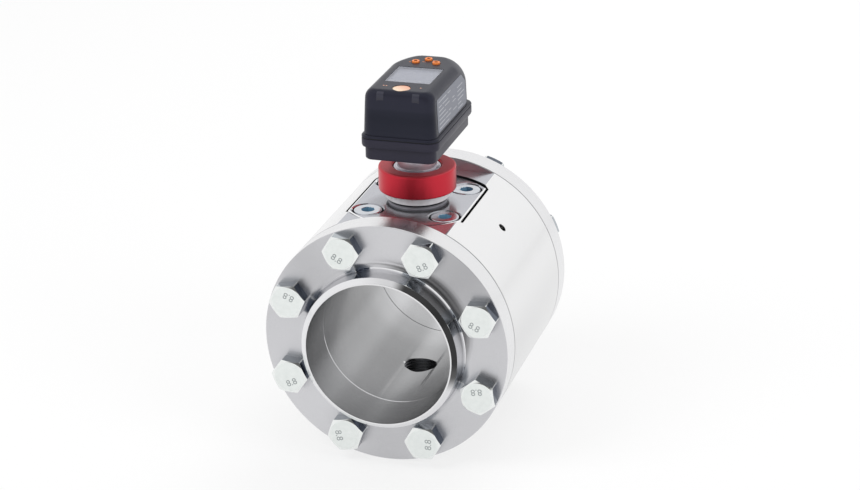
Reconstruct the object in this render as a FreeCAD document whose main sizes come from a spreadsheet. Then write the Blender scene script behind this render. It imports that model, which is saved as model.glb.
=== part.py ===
import FreeCAD
import Part
import Sketcher
import math
import os

# In-line air flow meter: pipe along Y with the inlet at -Y, sensor axis along Z, both through the origin.
doc = FreeCAD.newDocument("flow_meter")
vector = FreeCAD.Vector

size = {
    # measuring body and flanges, given as half lengths and radii
    "body_r": 70.0, "body_half": 50.5, "bore_r": 41.25, "rim_edge": 0.5,
    "flange_face": 65.5, "pipe_end": 80.0, "pipe_r": 44.45, "root_r": 46.0, "neck_fillet": 4.0,
    "pipe_edge": 0.6,
    # flange bolts
    "bolt_x": 59.0 * math.sin(math.radians(22.5)), "bolt_z": 59.0 * math.cos(math.radians(22.5)),
    "bolt_r": 6.0, "bolt_clear": 0.6, "bolt_play": 0.1, "bolt_grip": 25.0, "tap_room": 0.3,
    "bolt_head": 7.5, "bolt_corner_r": 10.68, "bolt_face_r": 8.8, "bolt_slope_r": 21.79,
    # seal rings: middle radius, half thickness and side room
    "seal_mid": 47.3, "seal_half": 1.1, "seal_room": 0.7,
    "plate_seal_mid": 13.6, "plate_seal_half": 1.0, "stem_seal_half": 1.2,
    # top flat, plate pocket and plate
    "flat_z": 62.5,
    "plate_top": 62.0, "plate_low": 50.0, "plate_r": 42.4, "plate_half": 33.0, "pocket_gap": 1.2,
    "plate_edge": 0.7,
    # plate screws
    "screw_at": 22.4, "screw_r": 5.0, "screw_play": 0.1, "screw_clear": 0.5, "screw_head_r": 8.0,
    "screw_seat": 55.0, "screw_top": 62.0, "screw_tip": 42.4, "screw_tap": 41.6,
    "screw_sink_r": 8.9, "screw_edge": 0.6, "socket_corner_r": 4.04, "socket_deep": 4.0,
    # ports in the body
    "probe_hole_r": 9.3, "probe_hole_low": 34.0, "port_r": 9.3, "port_top": 34.0, "port_sink": 1.6,
    "port_face_r": 14.0, "port_edge": 1.0, "side_hole_r": 2.5, "side_hole_deep": 12.0, "side_lean": 0.7071,
    # boss on the plate, union nut and sensor stem
    "boss_foot_r": 16.8, "boss_foot": 63.4, "boss_r": 18.0, "boss_low": 64.6, "boss_top": 76.0,
    "boss_edge": 0.8,
    "nut_r": 22.0, "nut_low": 69.4, "nut_top": 83.2, "nut_play": 0.15, "nut_lip_r": 13.9,
    "nut_round": 1.2, "nut_edge": 0.6,
    "stem_low": 44.0, "stem_r": 8.9, "stem_hole_r": 4.0, "stem_seal_low": 53.4, "stem_seal_high": 56.6,
    "collar_r": 17.4, "collar_top": 79.0, "shoulder_r": 13.5, "neck_low": 82.6, "neck_r": 11.2,
    "neck_top": 95.6, "neck_edge": 0.7,
    "spigot_r": 9.0, "spigot_top": 105.0, "clip_low": 101.5, "clip_high": 102.5, "clip_groove_r": 8.2,
    # probe
    "probe_r": 6.0, "probe_low": 22.0, "probe_edge": 1.0, "tip_r": 1.5, "tip_at": 2.8, "tip_low": 9.0,
    # swivel
    "swivel_play": 0.05, "washer_in": 9.3, "washer_out": 10.4, "washer_thick": 0.2,
    "clip_out": 11.3, "clip_slack": 0.05, "clip_gap": 5.0,
    # head base
    "head_y": 1.95, "base_x": 20.4, "base_y": 36.35, "base_low": 95.9, "base_floor": 98.9,
    "base_top": 108.4, "base_round": 5.0, "base_edge": 1.2,
    "ridge_x": 22.3, "ridge_y": 38.25, "ridge_low": 103.2, "ridge_round": 6.5, "ridge_edge": 1.2,
    "base_wall": 2.4, "hub_r": 13.0, "hub_top": 101.4,
    # screws that hold the cover from below
    "post_x": 15.4, "post_y": 31.2, "post_r": 3.6, "fix_r": 1.5, "fix_clear": 0.2, "fix_play": 0.05,
    "fix_head_r": 2.75, "fix_head": 2.5, "fix_sink_r": 3.15, "fix_seat": 99.4, "fix_tip": 117.0,
    "fix_hole_top": 118.0,
    # gasket and cover
    "gasket_inset": 0.4, "gasket_wide": 3.4, "gasket_thick": 0.6,
    "cover_x": 21.0, "cover_y": 36.95, "cover_low": 109.0, "cover_top": 136.5, "cover_round": 5.5,
    "lip_top": 110.8, "side_round": 5.0, "rear_round": 7.1, "over": 1.0, "rear_corner": 10.0,
    "crown_from": 20.0, "crown_start": 3.9, "crown_end": 20.8,
    "room_x": 18.2, "room_y": 33.5, "roof": 5.0, "room_round": 3.5,
    "vault_from": 22.0, "vault_start": 1.0, "vault_end": 14.0,
    # window and display
    "show_y": -2.9, "window_x": 13.0, "window_y": 13.7, "window_deep": 1.4, "window_gap": 0.1,
    "window_sink": 0.2, "window_round": 0.6,
    "panel_x": 11.6, "panel_y": 12.3, "panel_gap": 0.2, "panel_drop": 1.5,
    # inlay, status lights and rating label
    "inlay_y": -26.8, "inlay_r": 5.0, "inlay_deep": 0.9, "inlay_gap": 0.12, "inlay_sink": 0.1,
    "light_r": 0.55, "light_play": 0.05, "light_y": -24.5, "light_long": 5.0,
    "light_a": -10.9, "light_b": -9.3, "light_c": 10.3,
    "label_front": -27.5, "label_bend": 21.0, "label_rear": 28.4, "label_rise": 3.0, "label_drop": 5.5,
    "label_rear_drop": 11.5, "label_thick": 0.25, "label_round": 1.5,
    # board and keys
    "board_x": 15.0, "board_y": 28.6, "board_drop": 9.0, "board_thick": 1.5, "stay_x": 12.6,
    "stay_y": 26.0, "stay_r": 1.8, "chip_thick": 1.4, "chip_x": 5.0, "chip_near": 3.0, "chip_far": 12.0,
    "mat_x": 10.5, "mat_low_y": 15.6, "mat_high_y": 29.9, "mat_thick": 1.2, "dome_r": 2.2,
    "dome_high": 1.5,
    "key_side_x": 6.0, "key_side_y": 20.0, "key_rear_y": 25.5, "key_r": 2.2, "key_gap": 0.3,
    "key_drop": 6.6, "key_foot": 1.5, "key_foot_r": 3.2, "key_proud": 1.1, "key_dish_r": 1.1,
    "key_dish": 0.6, "key_edge": 0.4,
    # plug socket on the rear wall, measured out from that wall
    "plug_z": 120.0, "plug_r": 6.0, "plug_in": 7.5, "plug_flange_r": 8.6, "plug_flange": 2.5,
    "plug_out": 12.0, "plug_cup_r": 4.9, "plug_cup": 4.0, "plug_hole_r": 2.5, "plug_play": 0.1,
    "plug_wall": 3.45, "plug_nut": 3.0, "plug_nut_r": 9.0, "insert_gap": 0.05, "insert_top": 5.2,
    "pin_r": 0.5, "pin_ring": 2.1, "pin_top": 11.2,
}

sheet = doc.addObject("Spreadsheet::Sheet", "sizes")
for row, (name, number) in enumerate(size.items(), 1):
    sheet.set(f"A{row}", name)
    sheet.set(f"B{row}", str(round(number, 4)))
    sheet.setAlias(f"B{row}", name)
doc.recompute()

nodes = []


def amount(text):
    total, sign = 0.0, 1.0
    for word in text.split():
        if word in "+-":
            sign = 1.0 if word == "+" else -1.0
        else:
            total += sign * (round(size[word], 4) if word in size else float(word))
            sign = 1.0
    return total


def minus(text):
    words = text.split()
    if words[0] not in "+-":
        words.insert(0, "+")
    return " ".join({"+": "-", "-": "+"}.get(word, word) for word in words)


def plus(*parts):
    signed = [part if part.split()[0] in "+-" else "+ " + part for part in parts]
    return " ".join(signed).removeprefix("+ ")


def bind(item, target, text):
    item.setExpression(target, " ".join("sizes." + word if word in size else word for word in text.split()))


def node(kind, label):
    item = doc.addObject(kind, label)
    item.Label = label
    nodes.append(item)
    return item


def sketch_on(body, role, shift="0"):
    sketch = body.newObject("Sketcher::SketchObject", body.Name + "_sketch")
    plane = next(item for item in body.Origin.OriginFeatures if item.Role == role)
    sketch.AttachmentSupport = [(plane, "")]
    sketch.MapMode = "FlatFace"
    if shift != "0":
        bind(sketch, "AttachmentOffset.Base.z", shift)
    return sketch


def fix(sketch, kind, item, point, text):
    if text == "0":
        axis = -2 if kind == "DistanceX" else -1
        sketch.addConstraint(Sketcher.Constraint("PointOnObject", item, point, axis))
        return
    at = sketch.addConstraint(Sketcher.Constraint(kind, -1, 1, item, point, amount(text)))
    bind(sketch, f"Constraints[{at}]", text)


def fix_at(sketch, item, point, place):
    fix(sketch, "DistanceX", item, point, place[0])
    fix(sketch, "DistanceY", item, point, place[1])


def fix_radius(sketch, item, text):
    at = sketch.addConstraint(Sketcher.Constraint("Radius", item, amount(text)))
    bind(sketch, f"Constraints[{at}]", text)


def join(sketch, first, second):
    sketch.addConstraint(Sketcher.Constraint("Coincident", first, 2, second, 1))


def spot(place):
    return vector(amount(place[0]), amount(place[1]), 0)


def polygon(sketch, corners):
    ends = corners[1:] + corners[:1]
    lines = [sketch.addGeometry(Part.LineSegment(spot(a), spot(b))) for a, b in zip(corners, ends)]
    for first, second in zip(lines, lines[1:] + lines[:1]):
        join(sketch, first, second)
    for line, corner in zip(lines, corners):
        fix_at(sketch, line, 1, corner)


def circle(sketch, place, radius):
    ring = sketch.addGeometry(Part.Circle(spot(place), vector(0, 0, 1), amount(radius)))
    fix_at(sketch, ring, 3, place)
    fix_radius(sketch, ring, radius)


def arc(sketch, middle, radius, start, end):
    ring = Part.Circle(spot(middle), vector(0, 0, 1), amount(radius))
    item = sketch.addGeometry(Part.ArcOfCircle(ring, start, end))
    fix_at(sketch, item, 3, middle)
    fix_radius(sketch, item, radius)
    return item


def flat_sided_disc(sketch, radius, half):
    # a round disc with two straight sides along Y
    lean = math.acos(amount(half) / amount(radius))
    edge = amount(radius) * math.sin(lean)
    back = arc(sketch, ("0", "0"), radius, lean, math.pi - lean)
    left = sketch.addGeometry(Part.LineSegment(vector(-amount(half), edge), vector(-amount(half), -edge)))
    front = arc(sketch, ("0", "0"), radius, math.pi + lean, 2 * math.pi - lean)
    right = sketch.addGeometry(Part.LineSegment(vector(amount(half), -edge), vector(amount(half), edge)))
    ring = [back, left, front, right]
    for first, second in zip(ring, ring[1:] + ring[:1]):
        join(sketch, first, second)
    sketch.addConstraint(Sketcher.Constraint("Vertical", left))
    sketch.addConstraint(Sketcher.Constraint("Vertical", right))
    fix(sketch, "DistanceX", right, 1, half)
    fix(sketch, "DistanceX", left, 1, minus(half))


def round_rect(sketch, half_x, half_y, middle_y, radius):
    # a rectangle with rounded corners, its middle on the Y axis of the sketch
    right = plus(half_x, minus(radius))
    low = plus(middle_y, minus(half_y), radius)
    high = plus(middle_y, half_y, minus(radius))
    middles = [(right, high), (minus(right), high), (minus(right), low), (right, low)]
    quarter = math.pi / 2
    arcs = [arc(sketch, middle, radius, turn * quarter, (turn + 1) * quarter)
            for turn, middle in enumerate(middles)]
    for first, second in zip(arcs, arcs[1:] + arcs[:1]):
        start = sketch.getPoint(first, 2)
        line = sketch.addGeometry(Part.LineSegment(start, sketch.getPoint(second, 1)))
        sketch.addConstraint(Sketcher.Constraint("Tangent", first, 2, line, 1))
        sketch.addConstraint(Sketcher.Constraint("Tangent", line, 2, second, 1))


def rounding_cut(sketch, corner, radius, side):
    # what is cut from a square corner to leave it round; side is +1 or -1 along the sketch's X
    x, y = corner if side > 0 else (minus(corner[0]), corner[1])
    inward = minus(radius) if side > 0 else radius
    middle = (plus(x, inward), plus(y, minus(radius)))
    far = plus(x, "over" if side > 0 else "- over")
    span = (0, math.pi / 2) if side > 0 else (math.pi / 2, math.pi)
    bend = arc(sketch, middle, radius, *span)
    inner = (middle[0], plus(y, "over"))
    outer = (far, plus(y, "over"))
    foot = (far, middle[1])
    low, high = (sketch.getPoint(bend, 1), sketch.getPoint(bend, 2))
    near_top, near_foot = (high, low) if side > 0 else (low, high)
    top_end, foot_end = (2, 1) if side > 0 else (1, 2)
    rise = sketch.addGeometry(Part.LineSegment(near_top, spot(inner)))
    across = sketch.addGeometry(Part.LineSegment(spot(inner), spot(outer)))
    drop = sketch.addGeometry(Part.LineSegment(spot(outer), spot(foot)))
    back = sketch.addGeometry(Part.LineSegment(spot(foot), near_foot))
    sketch.addConstraint(Sketcher.Constraint("Coincident", bend, top_end, rise, 1))
    for first, second in ((rise, across), (across, drop), (drop, back)):
        join(sketch, first, second)
    sketch.addConstraint(Sketcher.Constraint("Coincident", back, 2, bend, foot_end))
    sketch.addConstraint(Sketcher.Constraint("Vertical", rise))
    sketch.addConstraint(Sketcher.Constraint("Horizontal", back))
    fix(sketch, "DistanceY", rise, 2, inner[1])
    fix_at(sketch, drop, 1, outer)
    fix(sketch, "DistanceX", back, 1, far)


def growing_round(body, kind, corner, side, near, far):
    # a rounding along the head whose radius grows toward the rear; near and far give a place and its radius
    sections = []
    for place, radius in (near, far):
        section = sketch_on(body, "XZ_Plane", minus(place))
        rounding_cut(section, corner, radius, side)
        sections.append(section)
    step = body.newObject(f"PartDesign::{kind}Loft", body.Name + "_growing")
    step.Profile = sections[0]
    step.Sections = sections[1:]
    step.Ruled = True
    return step


def raise_from(body, sketch, length):
    step = body.newObject("PartDesign::Pad", body.Name + "_pad")
    step.Profile = sketch
    bind(step, "Length", length)
    return step


def cut(body, sketch, length, upward=False):
    step = body.newObject("PartDesign::Pocket", body.Name + "_pocket")
    step.Profile = sketch
    bind(step, "Length", length)
    step.Reversed = upward
    return step


def spin(body, role, axis, corners, remove=False):
    sketch = sketch_on(body, role)
    polygon(sketch, corners)
    step = body.newObject("PartDesign::Groove" if remove else "PartDesign::Revolution", body.Name + "_turn")
    step.Profile = sketch
    step.ReferenceAxis = (sketch, [axis])
    step.Angle = 360
    return step


def ring_of(body, feature, role, count):
    axis = next(item for item in body.Origin.OriginFeatures if item.Role == role)
    step = body.newObject("PartDesign::PolarPattern", body.Name + "_ring")
    step.Originals = [feature]
    step.Axis = (axis, [""])
    step.Angle = 360
    step.Occurrences = count
    body.Tip = step
    return step


def soften(body, kind, amount_text, wanted):
    # a fillet or chamfer on every edge of the shape so far that is wanted
    doc.recompute()
    base = body.Tip
    names = [f"Edge{at}" for at, edge in enumerate(base.Shape.Edges, 1) if wanted(edge)]
    step = body.newObject("PartDesign::" + kind, body.Name + "_edge")
    step.Base = (base, names)
    bind(step, "Radius" if kind == "Fillet" else "Size", amount_text)
    return step


def is_ring(edge, radius, middle, axis):
    # a full circle of this radius whose middle lies at this place along an axis
    if not isinstance(edge.Curve, Part.Circle) or abs(edge.Curve.Radius - radius) > 0.01:
        return False
    return abs(getattr(edge.Curve.Center, axis) - middle) < 0.01


def level(edge, z):
    return abs(edge.BoundBox.ZMin - z) < 0.01 and abs(edge.BoundBox.ZMax - z) < 0.01


def solid(kind, name, **sizes):
    item = doc.addObject("Part::" + kind, name)
    for target, text in sizes.items():
        bind(item, target, text)
    return item


def at_height(item, x, y, z):
    for axis, text in zip("xyz", (x, y, z)):
        bind(item, f"Placement.Base.{axis}", text)
    return item


def fuse(name, *pieces):
    item = doc.addObject("Part::MultiFuse", name)
    item.Shapes = list(pieces)
    return item


def pair(kind, name, base, tool):
    item = doc.addObject("Part::" + kind, name)
    item.Base = base
    item.Tool = tool
    return item


def group(label, pieces):
    item = node("Part::Compound", label)
    item.Links = pieces
    return item


def seal(label, middle, half):
    item = node("Part::Torus", label)
    bind(item, "Radius1", middle)
    bind(item, "Radius2", half)
    return item


half_turn = FreeCAD.Rotation(vector(0, 0, 1), 180)
still = FreeCAD.Rotation()

# Measuring body
body = node("PartDesign::Body", "measuring_body")
spin(body, "YZ_Plane", "H_Axis", [
    ("- body_half", "bore_r"), ("body_half", "bore_r"), ("body_half", "body_r - rim_edge"),
    ("body_half - rim_edge", "body_r"), ("- body_half + rim_edge", "body_r"),
    ("- body_half", "body_r - rim_edge")])
flat = sketch_on(body, "XY_Plane", "flat_z")
polygon(flat, [("- body_r", "- body_half - over"), ("body_r", "- body_half - over"),
               ("body_r", "body_half + over"), ("- body_r", "body_half + over")])
cut(body, flat, "body_r", upward=True)
pocket = sketch_on(body, "XY_Plane", "plate_low")
flat_sided_disc(pocket, "plate_r + pocket_gap", "plate_half + pocket_gap")
cut(body, pocket, "body_r - plate_low", upward=True)
for shift, upward in (("body_half", False), ("- body_half", True)):
    tapped = sketch_on(body, "XZ_Plane", shift)
    circle(tapped, ("bolt_x", "bolt_z"), "bolt_r + bolt_play")
    ring_of(body, cut(body, tapped, "bolt_grip - flange_face + body_half + tap_room", upward), "Y_Axis", 8)
for end in ("body_half", "- body_half"):
    inner = plus(end, "- seal_half - seal_half" if end == "body_half" else "seal_half + seal_half")
    spin(body, "YZ_Plane", "H_Axis", [
        (end, "seal_mid - seal_half - seal_room"), (inner, "seal_mid - seal_half - seal_room"),
        (inner, "seal_mid + seal_half + seal_room"), (end, "seal_mid + seal_half + seal_room")], remove=True)
probe_hole = sketch_on(body, "XY_Plane", "plate_low")
circle(probe_hole, ("0", "0"), "probe_hole_r")
cut(body, probe_hole, "plate_low - probe_hole_low")
screw_holes = sketch_on(body, "XY_Plane", "plate_low")
for sx in ("screw_at", "- screw_at"):
    for sy in ("screw_at", "- screw_at"):
        circle(screw_holes, (sx, sy), "screw_r + screw_play")
cut(body, screw_holes, "plate_low - screw_tap")
port = sketch_on(body, "XY_Plane", "- port_top")
circle(port, ("0", "0"), "port_r")
cut(body, port, "body_r")
port_face = sketch_on(body, "XY_Plane", "- body_r + port_sink")
circle(port_face, ("0", "0"), "port_face_r")
cut(body, port_face, "port_r")
side_hole = sketch_on(body, "XY_Plane")
side_hole.AttachmentOffset = FreeCAD.Placement(vector(), FreeCAD.Rotation(vector(0, 1, 0), 45))
bind(side_hole, "AttachmentOffset.Base.x", "( body_r + over ) * side_lean")
bind(side_hole, "AttachmentOffset.Base.z", "( body_r + over ) * side_lean")
circle(side_hole, ("0", "0"), "side_hole_r")
cut(body, side_hole, "side_hole_deep + over")
soften(body, "Chamfer", "port_edge",
       lambda edge: is_ring(edge, size["port_r"], -amount("body_r - port_sink"), "z"))


# Flanges, their seal rings and bolts: each built at the inlet, the outlet's turned about Z
def flange(label, turn):
    body = node("PartDesign::Body", label)
    spin(body, "YZ_Plane", "H_Axis", [
        ("- body_half", "bore_r"), ("- pipe_end", "bore_r"), ("- pipe_end", "pipe_r - pipe_edge"),
        ("- pipe_end + pipe_edge", "pipe_r"), ("- flange_face", "root_r"),
        ("- flange_face", "body_r - rim_edge"), ("- flange_face + rim_edge", "body_r"),
        ("- body_half - rim_edge", "body_r"), ("- body_half", "body_r - rim_edge")])
    soften(body, "Fillet", "neck_fillet",
           lambda edge: is_ring(edge, size["root_r"], -size["flange_face"], "y"))
    hole = sketch_on(body, "XZ_Plane", "flange_face + over")
    circle(hole, ("bolt_x", "bolt_z"), "bolt_r + bolt_clear")
    ring_of(body, cut(body, hole, "flange_face"), "Y_Axis", 8)
    body.Placement = FreeCAD.Placement(vector(), turn)


def flange_seal(label, turn):
    item = seal(label, "seal_mid", "seal_half")
    tilt = FreeCAD.Rotation(vector(1, 0, 0), 90)
    place = vector(0, -size["body_half"] + size["seal_half"], 0)
    item.Placement = FreeCAD.Placement(turn.multVec(place), turn.multiply(tilt))


def hex_bolt(name, angle, twist):
    head = solid("Prism", name + "_head", Circumradius="bolt_corner_r", Height="bolt_head")
    head.Polygon = 6
    crown = solid("Cone", name + "_crown", Radius1="bolt_slope_r", Radius2="bolt_face_r", Height="bolt_head")
    shank = solid("Cylinder", name + "_shank", Radius="bolt_r", Height="bolt_grip")
    bind(shank, "Placement.Base.z", "- bolt_grip")
    bolt = fuse(name, pair("Common", name + "_top", head, crown), shank)
    far = math.hypot(size["bolt_x"], size["bolt_z"])
    lean = math.radians(angle)
    place = vector(far * math.sin(lean), -size["flange_face"], far * math.cos(lean))
    out = FreeCAD.Rotation(vector(1, 0, 0), 90)
    bolt.Placement = FreeCAD.Placement(place, out.multiply(FreeCAD.Rotation(vector(0, 0, 1), twist)))
    return bolt


def flange_bolts(label, turn, twists):
    bolts = [hex_bolt(f"{label}_{at}", 22.5 + 45 * at, twist) for at, twist in enumerate(twists)]
    group(label, bolts).Placement = FreeCAD.Placement(vector(), turn)


for end, turn in (("inlet", still), ("outlet", half_turn)):
    flange(end + "_flange", turn)
    flange_seal(end + "_seal", turn)
flange_bolts("inlet_bolts", still, (27, 34, 8, 30, 41, 25, 36, 29))
flange_bolts("outlet_bolts", half_turn, (31, 12, 28, 44, 20, 33, 37, 52))

# Mounting plate with its boss
body = node("PartDesign::Body", "mounting_plate")
outline = sketch_on(body, "XY_Plane", "plate_low")
flat_sided_disc(outline, "plate_r", "plate_half")
raise_from(body, outline, "plate_top - plate_low")
soften(body, "Chamfer", "plate_edge", lambda edge: level(edge, size["plate_top"]))
spin(body, "XZ_Plane", "V_Axis", [
    ("0", "plate_top - over"), ("boss_foot_r", "plate_top - over"), ("boss_foot_r", "boss_foot"),
    ("boss_r", "boss_low"), ("boss_r", "boss_top - boss_edge"), ("boss_r - boss_edge", "boss_top"),
    ("0", "boss_top")])
through = sketch_on(body, "XY_Plane", "boss_top")
circle(through, ("0", "0"), "probe_hole_r")
cut(body, through, "boss_top")
screw_sinks = sketch_on(body, "XY_Plane", "screw_seat")
screw_ways = sketch_on(body, "XY_Plane", "screw_seat + over")
for sx in ("screw_at", "- screw_at"):
    for sy in ("screw_at", "- screw_at"):
        circle(screw_sinks, (sx, sy), "screw_sink_r")
        circle(screw_ways, (sx, sy), "screw_r + screw_clear")
cut(body, screw_sinks, "screw_sink_r", upward=True)
cut(body, screw_ways, "plate_top")
spin(body, "XZ_Plane", "V_Axis", [
    ("plate_seal_mid - plate_seal_half - seal_room", "plate_low"),
    ("plate_seal_mid + plate_seal_half + seal_room", "plate_low"),
    ("plate_seal_mid + plate_seal_half + seal_room", "plate_low + plate_seal_half + plate_seal_half"),
    ("plate_seal_mid - plate_seal_half - seal_room", "plate_low + plate_seal_half + plate_seal_half")],
    remove=True)
soften(body, "Chamfer", "screw_edge",
       lambda edge: is_ring(edge, size["screw_sink_r"], size["plate_top"], "z"))

at_height(seal("plate_seal", "plate_seal_mid", "plate_seal_half"), "0", "0", "plate_low + plate_seal_half")


def socket_screw(name, x, y, twist):
    head = solid("Cylinder", name + "_head", Radius="screw_head_r",
                 Height="screw_top - screw_seat - screw_edge")
    bind(head, "Placement.Base.z", "screw_seat")
    crown = solid("Cone", name + "_crown", Radius1="screw_head_r", Radius2="screw_head_r - screw_edge",
                  Height="screw_edge")
    bind(crown, "Placement.Base.z", "screw_top - screw_edge")
    shank = solid("Cylinder", name + "_shank", Radius="screw_r", Height="screw_seat - screw_tip")
    bind(shank, "Placement.Base.z", "screw_tip")
    socket = solid("Prism", name + "_socket", Circumradius="socket_corner_r", Height="socket_deep + over")
    socket.Polygon = 6
    bind(socket, "Placement.Base.z", "screw_top - socket_deep")
    screw = pair("Cut", name, fuse(name + "_blank", head, crown, shank), socket)
    screw.Placement = FreeCAD.Placement(vector(x, y, 0), FreeCAD.Rotation(vector(0, 0, 1), twist))
    return screw


reach = size["screw_at"]
group("plate_screws", [
    socket_screw("plate_screw_a", reach, reach, 12), socket_screw("plate_screw_b", -reach, reach, 40),
    socket_screw("plate_screw_c", -reach, -reach, 22), socket_screw("plate_screw_d", reach, -reach, 4)])

# Union nut that clamps the stem's collar on the boss
body = node("PartDesign::Body", "union_nut")
spin(body, "XZ_Plane", "V_Axis", [
    ("boss_r + nut_play", "nut_low"), ("nut_r", "nut_low"), ("nut_r", "nut_top"), ("nut_lip_r", "nut_top"),
    ("nut_lip_r", "collar_top"), ("boss_r + nut_play", "collar_top")])
soften(body, "Fillet", "nut_round", lambda edge: is_ring(edge, size["nut_r"], size["nut_top"], "z")
       or is_ring(edge, size["nut_lip_r"], size["nut_top"], "z"))
soften(body, "Fillet", "nut_edge", lambda edge: is_ring(edge, size["nut_r"], size["nut_low"], "z"))

# Sensor stem: seal groove, collar, shoulder, neck and the spigot the head turns on
body = node("PartDesign::Body", "sensor_stem")
groove_r = "probe_hole_r - stem_seal_half - stem_seal_half"
spin(body, "XZ_Plane", "V_Axis", [
    ("stem_hole_r", "stem_low"), ("stem_r", "stem_low"), ("stem_r", "stem_seal_low"),
    (groove_r, "stem_seal_low"), (groove_r, "stem_seal_high"), ("stem_r", "stem_seal_high"),
    ("stem_r", "boss_top"), ("collar_r", "boss_top"), ("collar_r", "collar_top"),
    ("shoulder_r", "collar_top"), ("shoulder_r", "neck_low - neck_edge"),
    ("shoulder_r - neck_edge", "neck_low"), ("neck_r", "neck_low"), ("neck_r", "neck_top - neck_edge"),
    ("neck_r - neck_edge", "neck_top"),
    ("spigot_r", "neck_top"), ("spigot_r", "clip_low"), ("clip_groove_r", "clip_low"),
    ("clip_groove_r", "clip_high"), ("spigot_r", "clip_high"), ("spigot_r", "spigot_top - neck_edge"),
    ("spigot_r - neck_edge", "spigot_top"), ("stem_hole_r", "spigot_top")])
at_height(seal("stem_seal", "probe_hole_r - stem_seal_half", "stem_seal_half"),
          "0", "0", "stem_seal_low + stem_seal_half")

# Probe: tube under the stem and two sensing tips side by side across the flow
body = node("PartDesign::Body", "probe_tube")
spin(body, "XZ_Plane", "V_Axis", [
    ("0", "probe_low"), ("probe_r - probe_edge", "probe_low"), ("probe_r", "probe_low + probe_edge"),
    ("probe_r", "stem_low"), ("0", "stem_low")])


def sensing_tip(label, place):
    shaft = solid("Cylinder", label + "_shaft", Radius="tip_r", Height="probe_low - tip_low - tip_r")
    bind(shaft, "Placement.Base.z", "tip_low + tip_r")
    ball = solid("Sphere", label + "_ball", Radius="tip_r")
    bind(ball, "Placement.Base.z", "tip_low + tip_r")
    tip = node("Part::MultiFuse", label)
    tip.Shapes = [shaft, ball]
    bind(tip, "Placement.Base.x", place)


sensing_tip("heated_tip", "tip_at")
sensing_tip("reference_tip", "- tip_at")

# Swivel washer and clip
body = node("PartDesign::Body", "swivel_washer")
washer = sketch_on(body, "XY_Plane", "neck_top")
circle(washer, ("0", "0"), "washer_in")
circle(washer, ("0", "0"), "washer_out")
raise_from(body, washer, "washer_thick")

body = node("PartDesign::Body", "swivel_clip")
clip = sketch_on(body, "XY_Plane", "clip_low")
circle(clip, ("0", "0"), "clip_groove_r + clip_slack")
circle(clip, ("0", "0"), "clip_out")
raise_from(body, clip, "clip_high - clip_low - clip_slack")
opening = sketch_on(body, "XY_Plane", "clip_low - over")
polygon(opening, [("- clip_gap", "0"), ("clip_gap", "0"), ("clip_gap", "clip_out + over"),
                  ("- clip_gap", "clip_out + over")])
cut(body, opening, "clip_high", upward=True)

# Head base
posts = [(x, f"head_y {sign} post_y") for x in ("post_x", "- post_x") for sign in "+-"]
body = node("PartDesign::Body", "head_base")
ridge = sketch_on(body, "XY_Plane", "ridge_low")
round_rect(ridge, "ridge_x", "ridge_y", "head_y", "ridge_round")
raise_from(body, ridge, "base_top - ridge_low")
soften(body, "Chamfer", "ridge_edge", lambda edge: level(edge, size["ridge_low"]))
outline = sketch_on(body, "XY_Plane", "base_low")
round_rect(outline, "base_x", "base_y", "head_y", "base_round")
raise_from(body, outline, "base_top - base_low")
soften(body, "Fillet", "base_edge", lambda edge: level(edge, size["base_low"]))
hollow = sketch_on(body, "XY_Plane", "base_floor")
round_rect(hollow, "base_x - base_wall", "base_y - base_wall", "head_y", "base_round - base_wall")
cut(body, hollow, "base_top - base_floor + over", upward=True)
hub = sketch_on(body, "XY_Plane", "base_low + over")
circle(hub, ("0", "0"), "hub_r")
raise_from(body, hub, "hub_top - base_low - over")
stands = sketch_on(body, "XY_Plane", "base_low + over")
for post in posts:
    circle(stands, post, "post_r")
raise_from(body, stands, "base_top - base_low - over")
ways = sketch_on(body, "XY_Plane", "base_top + over")
sinks = sketch_on(body, "XY_Plane", "fix_seat")
for post in posts:
    circle(ways, post, "fix_r + fix_clear")
    circle(sinks, post, "fix_sink_r")
cut(body, ways, "base_top")
cut(body, sinks, "fix_seat")
swivel = sketch_on(body, "XY_Plane", "hub_top + over")
circle(swivel, ("0", "0"), "spigot_r + swivel_play")
cut(body, swivel, "hub_top")

# Gasket
body = node("PartDesign::Body", "head_gasket")
outline = sketch_on(body, "XY_Plane", "base_top")
round_rect(outline, "ridge_x - gasket_inset", "ridge_y - gasket_inset", "head_y",
           "ridge_round - gasket_inset")
round_rect(outline, "ridge_x - gasket_wide", "ridge_y - gasket_wide", "head_y", "ridge_round - gasket_wide")
raise_from(body, outline, "gasket_thick")

# Head cover
keys = {"left_key": ("- key_side_x", "key_side_y"), "rear_key": ("0", "key_rear_y"),
        "right_key": ("key_side_x", "key_side_y")}
lights = [(x, "light_y") for x in ("light_a", "light_b", "light_c")]
stays = [(x, f"head_y {sign} stay_y") for x in ("stay_x", "- stay_x") for sign in "+-"]
room_top = "cover_top - roof"
board_top = "cover_top - board_drop"
body = node("PartDesign::Body", "head_cover")
outline = sketch_on(body, "XY_Plane", "cover_low")
round_rect(outline, "cover_x", "cover_y", "head_y", "cover_round")
raise_from(body, outline, "cover_top - cover_low")
hollow = sketch_on(body, "XY_Plane", room_top)
round_rect(hollow, "room_x", "room_y", "head_y", "room_round")
cut(body, hollow, "cover_top")
for side in (1, -1):
    growing_round(body, "Additive", ("room_x", room_top), side,
                  ("vault_from", "vault_start"), ("head_y + room_y + over", "vault_end"))
    growing_round(body, "Subtractive", ("cover_x", "cover_top"), side,
                  ("crown_from", "crown_start"), ("head_y + cover_y + over", "crown_end"))
corners = sketch_on(body, "XY_Plane", "cover_top + over")
rounding_cut(corners, ("cover_x", "head_y + cover_y"), "rear_corner", 1)
rounding_cut(corners, ("cover_x", "head_y + cover_y"), "rear_corner", -1)
cut(body, corners, "cover_top")
shoulders = sketch_on(body, "XZ_Plane", "cover_y + cover_y")
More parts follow.
